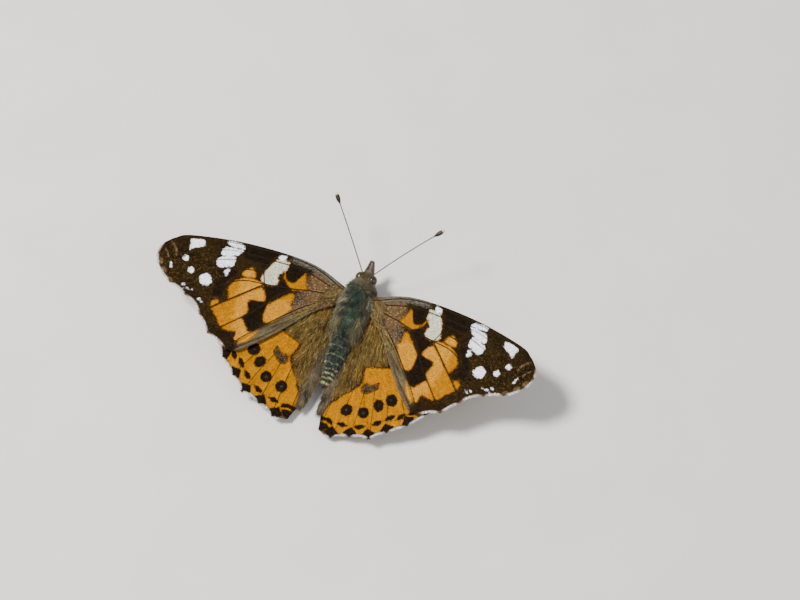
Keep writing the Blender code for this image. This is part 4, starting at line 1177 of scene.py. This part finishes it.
HIND_BASE = [(-1.4, 3.2), (2.5, 4.2), (5.2, 7.0), (5.7, 9.9), (4.2, 10.7), (2.3, 11.4), (2.3, 13.7),
             (1.5, 15.7), (-.1, 17.3), (-1.3, 18.2), (-2.3, 12), (-2.2, 7)]
HIND_FOLD = [(-2.3, 9), (-.9, 10), (-.7, 14), (-.9, 18), (-1.3, 20.6), (-2.3, 20.6), (-2.8, 15)]
FORE_BASE = [(-1.2, .8), (1.0, .3), (1.9, 1.0), (2.2, 2.6), (3.2, 4.6), (5.4, 7.6), (4.8, 7.8),
             (2.6, 5.6), (-.4, 3)]
for side in SIDES:
    wing_hair(HINDWING, side, HIND_BASE, 8000, 1.5, 0.085, 0.08, (108, 87, 42), (122, 90, 34),
              (0, -3), "hair")
    wing_hair(HINDWING, side, HIND_FOLD, 3600, 2.4, 0.08, 0.12, (112, 101, 84), (110, 96, 72),
              (0, -8), "fold_hair")
    wing_hair(FOREWING, side, FORE_BASE, 2600, 1.1, 0.08, 0.08, (104, 92, 58), (112, 90, 56),
              (-4, -2), "hair")

# %% [markdown]
# A fringe of long scales edges each wing, white between the veins and dark at their ends. It takes up the
# strip between the sheet's edge and the model's outline. The locks start just inside the margin and point
# outwards. Their lengths vary a little, and the white ones are longer, which keeps the edge scalloped.

# %% The fringes
EDGE_POINTS = 800


def make_fringe(wing, side, amount=1500):
    """Locks at even strides along the margin, white by how far each is from the nearest vein's end."""
    along_edge = np.linspace(0.004, 0.996, amount) + rng.normal(0.0, 0.0004, amount)
    dense = scalloped_edge(wing["ends"], wing["bows"], EDGE_POINTS, FRINGE)
    at, stops = np.clip(along_edge, 0, 1) * (EDGE_POINTS - 1), np.arange(EDGE_POINTS)
    edge = read_along(dense, stops, at)
    heading = read_along(np.gradient(dense, axis=0), stops, at)
    outwards = unit(quarter_turn(heading))
    to_end = np.linalg.norm(edge[:, None] - np.asarray(wing["ends"])[None], axis=2)
    nearest = np.sort(to_end, axis=1)
    middling = nearest[:, 0] / (nearest[:, 0] + nearest[:, 1])
    roots = edge - outwards * 0.12
    height = wing["level"] + rng.uniform(-0.03, 0.03, amount)
    start = wing_place(roots[:, 0], roots[:, 1], height, side, wing)
    ahead = roots + outwards * 0.1 + heading * rng.normal(0.0, 0.1, (amount, 1))
    lie = unit(wing_place(ahead[:, 0], ahead[:, 1], height, side, wing) - start)
    facing = unit(wing_place(roots[:, 0], roots[:, 1], height + 1.0, side, wing) - start)
    scalloped = np.interp(to_end.argmin(axis=1), np.arange(len(wing["ends"])), wing["white_fringe"])
    white_share = ease(middling, 0.12, 0.3) * scalloped * (rng.uniform(size=amount) > 0.06)
    colour = shaded((74, 50, 38), (white_share, (244, 238, 236)))
    size = (FRINGE + 0.12) * rng.uniform(0.8, 1.1, amount) * (0.55 + 0.45 * white_share)
    piece = make_locks(f"{wing['name']}_{SIDES[side]}_fringe", beside_abdomen(start, side), lie, facing, size,
                       0.05, 0.02, colour, wing_uv(roots))
    return fit_out(piece, FUR_FINISH)


for side in SIDES:
    make_fringe(FOREWING, side)
    make_fringe(HINDWING, side)

# %% [markdown]
# Feelers, legs, palps and tongue are all tubes: a ring carried along a path, its radius given at each point
# of the path. The ring's own axes are kept as near as can be to one fixed direction, so that the tube doesn't
# twist.

# %% Tubes along a path
def tube(path, radii, sides=12, flat=1.0, roll=(0.0, 0.0, 1.0)):
    """Rings square to the path, their second axis kept as near as can be to a fixed direction."""
    path, radii = np.asarray(path, float), np.asarray(radii, float)
    heading = unit(np.gradient(path, axis=0))
    across = unit(np.cross(heading, np.asarray(roll, float)))
    third = np.cross(across, heading)
    turn = np.linspace(0.0, 2.0 * np.pi, sides, endpoint=False)
    ring = (across[:, None] * np.cos(turn)[None, :, None]
            + third[:, None] * np.sin(turn)[None, :, None] * flat) * radii[:, None, None]
    points = np.concatenate([(path[:, None] + ring).reshape(-1, 3), path[:1], path[-1:]])
    return points, closed_tube(len(path), sides)


def joined(parts):
    """Several tubes as one: each one's corners are counted on from the last, squares before triangles."""
    starts = np.cumsum([0] + [len(points) for points, faces in parts])
    corners = [rows + start for (points, faces), start in zip(parts, starts) for rows in faces]
    corners.sort(key=lambda rows: -rows.shape[1])
    return np.concatenate([points for points, faces in parts]), corners


def around_tube(path, radii, low, high, amount, depth):
    """Random places on a tube: picked along its path and round it, with the ways along and outwards."""
    pick, turn = rng.uniform(low, high, amount) * (len(path) - 1), rng.uniform(0, 2 * np.pi, amount)
    stops = np.arange(len(path))
    heading = unit(read_along(np.gradient(path, axis=0), stops, pick))
    across = unit(np.cross(heading, [0.0, 0.0, 1.0]))
    outwards = across * np.cos(turn)[:, None] + np.cross(across, heading) * np.sin(turn)[:, None]
    places = read_along(path, stops, pick) + outwards * np.interp(pick, stops, radii)[:, None] * depth
    return places, heading, outwards, pick, turn


def tube_uv(turn, share):
    """A tube laid flat: its turn across the map and its length up it, clear of the edge."""
    return np.stack([turn / (2 * np.pi) * 0.9 + 0.05, share * 0.9 + 0.05], axis=1)


def waists(rings):
    """1 at each joint of a ringed tube and 0 halfway between, in straight lines."""
    return np.abs(rings % 1.0 - 0.5) * 2.0


# %% [markdown]
# A feeler is a thin shaft of some forty short rings, pale at each joint, that ends in a dark club with a
# cream tip. It starts on the crown of the head between the eyes. The ring joints are slight waists in the
# radius, and the bands of colour follow the length along it.

# %% The feelers
REACH = {1: np.array([8.1, -9.2, 6.9]), -1: np.array([-9.5, -8.9, 6.9])}
FEELER_RINGS = 44.0


def antenna_finish():
    """Dark rings with pale joints, then the dark club and its cream tip, by the share of the length."""
    finish, tree, shader, place = new_finish("antenna_scales", 0.5, Specular_IOR_Level=0.4)
    along = field(tree, "along")[0]
    banded = maths(tree, "FRACT", maths(tree, "MULTIPLY", along, FEELER_RINGS))
    joint = step(tree, maths(tree, "ABSOLUTE", maths(tree, "SUBTRACT", banded, 0.5)), 0.30, 0.42)
    grain = noise(tree, place, 9000.0)
    club = two_tones(tree, step(tree, grain, 0.35, 0.7), (24, 16, 12), (42, 28, 18))
    colour = coated(tree, two_tones(tree, step(tree, grain, 0.3, 0.7), (34, 25, 17), (54, 42, 30)),
                    (maths(tree, "MULTIPLY", joint, 0.75), tint(140, 128, 104)),
                    (step(tree, along, 0.845, 0.875), club),
                    (step(tree, along, 0.968, 0.985), tint(222, 184, 110)))
    tree.links.new(colour, shader.inputs["Base Color"])
    bump(tree, shader, grain, 0.3, 0.00002)
    return finish


ANTENNA_FINISH = antenna_finish()
t = np.linspace(0.0, 1.0, 300)
shaft = 0.095 + 0.025 * (1 - ease(t, 0.0, 0.05)) - 0.012 * ease(waists(t * FEELER_RINGS), 0.7, 1.0)
club = 0.36 * np.sqrt(np.clip(np.sin(np.pi * np.clip((t - 0.80) / 0.21, 0.0, 1.0) ** 1.6), 0, 1))
radii = np.maximum(shaft, club * ease(t, 0.80, 0.93))
radii *= np.where(t > 0.985, np.sqrt(np.clip(1 - ((t - 0.985) / 0.0152) ** 2, 0.02, 1.0)), 1.0)
bow = np.stack([0 * t, 0 * t, 0.5 * np.sin(np.pi * t)], axis=1)
for side in SIDES:
    path = body_place([0.42 * side, 5.05, 0.55]) + REACH[side] * t[:, None] + bow
    piece = make_piece("antenna_" + SIDES[side] + "_feeler", *tube(path, radii, 14, 0.85),
                       {"along": per_ring(t, 14)})
    fit_out(piece, ANTENNA_FINISH, ["antenna_" + SIDES[side]])

# %% [markdown]
# The compound eyes are the largest thing on the head: glossy dark brown domes of thousands of tiny lenses,
# duller at the rim. The dome is a squashed half ball, closed behind, and the lenses are a fine cell pattern
# in the bump.

# %% The eyes
def eye_finish():
    """Two dark browns in clouds, a duller rim by the share of the dome, and lenses as cells in the bump."""
    finish, tree, shader, place = new_finish("eye_lenses", 0.22, Specular_IOR_Level=0.4, Coat_Weight=0.2,
                                             Coat_Roughness=0.08)
    lenses = add_node(tree, "ShaderNodeTexVoronoi", {"Vector": place, "Scale": 26000.0, "Randomness": 0.3})
    cloud = step(tree, noise(tree, place, 1500.0), 0.35, 0.7)
    colour = coated(tree, two_tones(tree, cloud, (36, 22, 13), (68, 44, 25)),
                    (step(tree, field(tree, "along")[0], 1.05, 1.15), tint(52, 44, 32)))
    tree.links.new(colour, shader.inputs["Base Color"])
    bump(tree, shader, maths(tree, "SUBTRACT", 1.0, lenses.outputs["Distance"]), 0.25, 0.00001)
    return finish


EYE_FINISH = eye_finish()
EYE_FORWARD, EYE_UP = 4.95, 0.1
EYE_ROWS, EYE_COLUMNS = 34, 64
lean = np.linspace(0.03, np.pi * 0.62, EYE_ROWS)[:, None]
turn = np.linspace(0.0, 2.0 * np.pi, EYE_COLUMNS, endpoint=False)[None]
dome = np.stack([1.03 + 0.79 * np.cos(lean) + 0.0 * turn,
                 EYE_FORWARD + 0.88 * np.sin(lean) * np.cos(turn),
                 EYE_UP + 0.90 * np.sin(lean) * np.sin(turn)], axis=-1).reshape(-1, 3)
dome = np.concatenate([dome, [[1.82, EYE_FORWARD, EYE_UP], [0.67, EYE_FORWARD, EYE_UP]]])
for side in SIDES:
    piece = make_piece("eye_" + SIDES[side] + "_dome", body_place(dome * [side, 1, 1]),
                       closed_tube(EYE_ROWS, EYE_COLUMNS),
                       {"along": per_ring(np.linspace(0.0, 1.25, EYE_ROWS), EYE_COLUMNS)})
    fit_out(piece, EYE_FINISH, ["eye_" + SIDES[side]])

# %% [markdown]
# Two scaly palps point forward and up from below the face and meet like a short pointed snout, and under
# them the tongue is coiled up like a watch spring. The palps are tapered tubes with locks of hair along
# them, palest where they face each other. The tongue is a thin tube of two and a half turns that fits the
# outside of the model's coil.

# %% Palps and tongue
def plain_finish(name, dark, light, roughness, scale, strength=0.3, **constants):
    """Two tones of one colour in a fine grain, with the same grain as bump."""
    finish, tree, shader, place = new_finish(name, roughness, **constants)
    grain = noise(tree, place, scale, 3.0, 0.6)
    colour = two_tones(tree, step(tree, grain, 0.32, 0.68), dark, light)
    tree.links.new(colour, shader.inputs["Base Color"])
    bump(tree, shader, grain, strength, 0.00003)
    return finish


PALP_FINISH = plain_finish("palp_scales", (84, 68, 46), (122, 104, 76), 0.6, 7000.0, Specular_IOR_Level=0.2)
TONGUE_FINISH = plain_finish("tongue_shell", (52, 32, 18), (98, 62, 34), 0.32, 5000.0, 0.15)
PALP_PATH = [(0.5, 4.5, -0.55), (0.5, 5.2, -0.62), (0.4, 6.3, -0.5), (0.31, 7.0, -0.12), (0.22, 7.6, 0.25),
             (0.12, 7.95, 0.55)]
PALP_POINTS, PALP_LOCKS = 60, 2000
t = np.linspace(0.0, 1.0, PALP_POINTS)
radii = 0.31 * (1.0 - 0.1 * np.cos(t * 9.0)) * (1.0 - 0.72 * t**3)
radii[-3:] *= [0.85, 0.6, 0.25]
for side in SIDES:
    path = curve_through(np.array(PALP_PATH) * [side, 1, 1], PALP_POINTS)
    points, faces = tube(path, radii, 16, 1.15)
    piece = make_piece("palp_" + SIDES[side] + "_core", body_place(points), faces)
    fit_out(piece, PALP_FINISH, ["palp_" + SIDES[side]])
    on_skin, heading, outwards, pick, turn = around_tube(path, radii, 0.02, 0.98, PALP_LOCKS, 0.95)
    colour = shaded((122, 102, 92), (ease(-side * outwards[:, 0], 0.3, 0.95), (196, 186, 168)),
                    (ease(-outwards[:, 2], -0.1, 0.6), (186, 172, 140)))
    colour = colour * rng.uniform(.6, 1.5, (PALP_LOCKS, 1))
    length = (0.5 - 0.0055 * pick) * rng.uniform(.7, 1.2, PALP_LOCKS)
    piece = make_locks("palp_" + SIDES[side] + "_hair", body_place(on_skin), turned(on_skin, heading),
                       turned(on_skin, outwards), length, 0.055, 0.3, colour,
                       tube_uv(turn, pick / (PALP_POINTS - 1)))
    fit_out(piece, FUR_FINISH)

t = np.linspace(0.0, 1.0, 220)
turn = np.radians(80.0 - 900.0 * np.clip((t - 0.06) / 0.94, 0.0, 1.0))
radius = 0.80 - 0.52 * t
coil = np.stack([0.03 * np.sin(turn), 5.55 + radius * np.cos(turn), -2.1 + radius * np.sin(turn)], axis=1)
coil = np.concatenate([np.linspace([0.0, 4.9, -0.75], coil[0], 14)[:-1], coil])
coil_radii = 0.105 * (1.0 - 0.45 * np.linspace(0, 1, len(coil)))
points, faces = tube(coil, coil_radii, roll=(1.0, 0.0, 0.0))
piece = make_piece("tongue_coil", body_place(points), faces)
fit_out(piece, TONGUE_FINISH, ["tongue"])

# %% [markdown]
# Like all brush-footed butterflies it stands on four legs, and the two front ones are small furry brushes
# folded under the thorax. A walking leg has a thick thigh, a shin with two spurs, and a foot of five short
# joints that ends in two claws. The radii change from joint to joint, with a waist at each.

# %% The legs
LEG_FINISH = plain_finish("leg_scales", (76, 60, 42), (122, 104, 76), 0.55, 8000.0, Specular_IOR_Level=0.2)
CLAW_FINISH = plain_finish("claw_horn", (40, 24, 14), (76, 48, 28), 0.3, 6000.0, 0.1)
LEGS = {
    "midleg": [(.8, -.6, 2.4), (2.1, -.8, 1.35), (2.9, -1, 1.25), (5.6, -1.9, 2.25), (6.2, -2.1, 2.05),
               (8.1, -3, .5), (8.7, -3.3, .21), (9.6, -3.8, .2), (11, -4.7, .2)],
    "hindleg": [(.8, 2.2, 2.2), (1.9, 2.7, 1.35), (2.4, 3.2, 1.25), (4.4, 6.9, 2), (4.7, 7.5, 1.85),
                (5.7, 10, .5), (5.9, 10.6, .21), (6.2, 11.6, .2), (6.7, 13.2, .2)],
}
LEG_SIZES = [.3, .27, .24, .2, .17, .13, .12, .11, .09]


def leg_parts(points, side):
    """The leg as one tube, its two spurs and its two claws, in the frame."""
    points = np.array(points) * [side, 1, 1]
    path = curve_through(points, 150)
    at = np.linspace(0.0, 1.0, 150)
    length = walked(points)
    radii = np.interp(at, length / length[-1], LEG_SIZES)
    radii = radii * (1.0 - 0.28 * ease(at, 0.70, 0.74) * ease(waists((at - 0.72) * 18.0), 0.6, 1.0))
    radii[-4:] *= [0.95, 0.85, 0.65, 0.3]
    path[:, 2] = np.maximum(path[:, 2], radii + 0.004)
    parts = [tube(path, radii, 12)]
    ankle = path[104]
    ahead = unit(path[108] - path[100])
    for turn in (-0.5, 0.5):
        tip = ankle + (ahead + np.array([turn * 0.6, turn * 0.6, -0.15])) * 0.5
        tip[2] = max(tip[2], 0.06)
        parts.append(tube(np.linspace(ankle, tip, 8), np.linspace(0.05, 0.012, 8), 6))
    toe, ahead = path[-2], unit(path[-2] - path[-8])
    aside = unit(np.cross(ahead, [0.0, 0.0, 1.0]))
    for turn in (-1.0, 1.0):
        s = np.linspace(0.0, 1.0, 10)[:, None]
        hook = toe + (ahead * 0.24 + aside * turn * 0.13) * s + np.array([0, 0, 0.09]) * np.sin(np.pi * s)
        hook[:, 2] = np.maximum(hook[:, 2] - 0.06 * s[:, 0], 0.02)
        parts.append(tube(hook, np.linspace(0.035, 0.008, 10), 6))
    placed = [(points + STANCE, faces) for points, faces in parts]
    return joined(placed[:3]), joined(placed[3:]), path + STANCE, radii


def leg_bristles(name, path, radii, amount, length):
    """Short stiff locks all round a leg, pointing down it."""
    start, heading, outwards, pick, turn = around_tube(path, radii, 0.14, 0.96, amount, 0.94)
    start[:, 2] = np.maximum(start[:, 2], 0.05)
    lift = np.where(start[:, 2] < 0.3, 0.0, 0.25)
    length = length * rng.uniform(.7, 1.2, amount)
    piece = make_locks(name, start, heading, outwards, length, 0.035, lift,
                       np.tile(linear(112, 94, 68), (amount, 1)), tube_uv(turn, pick / len(path)))
    return fit_out(piece, FUR_FINISH)


BRUSH_PATH = [(.8, 2.5, -.9), (1.15, 3.3, -1.75), (1.25, 4.3, -2), (1.15, 5.4, -1.75)]
for side in SIDES:
    for leg, route in LEGS.items():
        shell, claws, path, radii = leg_parts(route, side)
        name = f"{leg}_{SIDES[side]}"
        fit_out(make_piece(name + "_shell", *shell), LEG_FINISH, [name])
        fit_out(make_piece(name + "_claws", *claws), CLAW_FINISH)
        leg_bristles(name + "_bristles", path, radii, 700, 0.22)
    brush = curve_through(np.array(BRUSH_PATH) * [side, 1, 1], 60)
    radii = np.interp(np.linspace(0, 1, 60), [0, .4, .9, 1], [.2, .19, .13, .05])
    points, faces = tube(brush, radii)
    name = "foreleg_" + SIDES[side]
    fit_out(make_piece(name + "_shell", body_place(points), faces), LEG_FINISH, [name])
    leg_bristles(name + "_brush", body_place(brush), radii, 900, 0.36)

# %% [markdown]
# The scene is a plain pale floor and soft light. A strong lamp stands to the upper left of the picture, a
# wider and weaker one to its right, and a broad pale sky fills the shadows. The camera looks down steeply
# from behind the right wing. It is moved sideways, not turned, so that the butterfly sits where it should in
# the frame: the body's middle lies some pixels left of the picture's centre and below it.

# %% Floor, light and camera
from mathutils import Matrix, Vector

AZIMUTH, STEEPNESS = np.radians(200.5), np.radians(64.0)
DISTANCE, PIXELS_PER_MM, PICTURE_WIDTH = 600.0, 6.3, 800.0
PIXELS_LEFT, PIXELS_BELOW = 44.6, 7.0
towards_camera = np.array([np.sin(AZIMUTH) * np.cos(STEEPNESS), -np.cos(AZIMUTH) * np.cos(STEEPNESS),
                           np.sin(STEEPNESS)])
to_the_right = np.array([np.cos(AZIMUTH), np.sin(AZIMUTH), 0.0])
upwards = np.cross(towards_camera, to_the_right)
middle = (STANCE + [0.0, 0.0, BODY_HEIGHT] + to_the_right * PIXELS_LEFT / PIXELS_PER_MM
          + upwards * PIXELS_BELOW / PIXELS_PER_MM)

camera_data = bpy.data.cameras.new("camera")
camera_data.sensor_fit = "HORIZONTAL"
camera_data.angle = 2.0 * np.arctan(PICTURE_WIDTH / 2 / PIXELS_PER_MM / DISTANCE)
camera_data.clip_start = 0.01
camera = bpy.data.objects.new("camera", camera_data)
axes = np.eye(4)
axes[:3, 0], axes[:3, 1], axes[:3, 2] = to_the_right, upwards, towards_camera
axes[:3, 3] = (middle + towards_camera * DISTANCE) * MM
camera.matrix_world = Matrix(axes.tolist())
bpy.context.scene.collection.objects.link(camera)
bpy.context.scene.camera = camera
print("camera stands at, mm:", axes[:3, 3].round(4) / MM)


def add_lamp(name, direction, distance, size, power):
    """A square area lamp that faces the butterfly from a direction."""
    lamp_data = bpy.data.lights.new(name, "AREA")
    lamp_data.size, lamp_data.energy = size, power
    lamp = bpy.data.objects.new(name, lamp_data)
    direction = unit(np.asarray(direction, float))
    lamp.location = Vector((middle * MM + direction * distance).tolist())
    lamp.rotation_euler = Vector(direction.tolist()).to_track_quat("Z", "Y").to_euler()
    bpy.context.scene.collection.objects.link(lamp)


add_lamp("key", towards_camera * 0.75 - to_the_right * 0.5 + upwards * 0.45, 0.5, 0.11, 4.5)
add_lamp("fill", towards_camera * 0.7 + to_the_right * 0.7 - upwards * 0.1, 0.6, 0.5, 1.4)
world = bpy.data.worlds.new("sky")
world.use_nodes = True
world.node_tree.nodes["Background"].inputs[0].default_value = (0.86, 0.92, 1.0, 1.0)
world.node_tree.nodes["Background"].inputs[1].default_value = 0.48
bpy.context.scene.world = world

floor_mesh = bpy.data.meshes.new("floor")
floor_mesh.from_pydata([(-1, -1, 0), (1, -1, 0), (1, 1, 0), (-1, 1, 0)], [], [(0, 1, 2, 3)])
floor = bpy.data.objects.new("floor", floor_mesh)
bpy.context.scene.collection.objects.link(floor)
floor_mesh.materials.append(plain_finish("floor_card", (222, 218, 210), (226, 222, 214), 0.9, 60.0, 0.0))
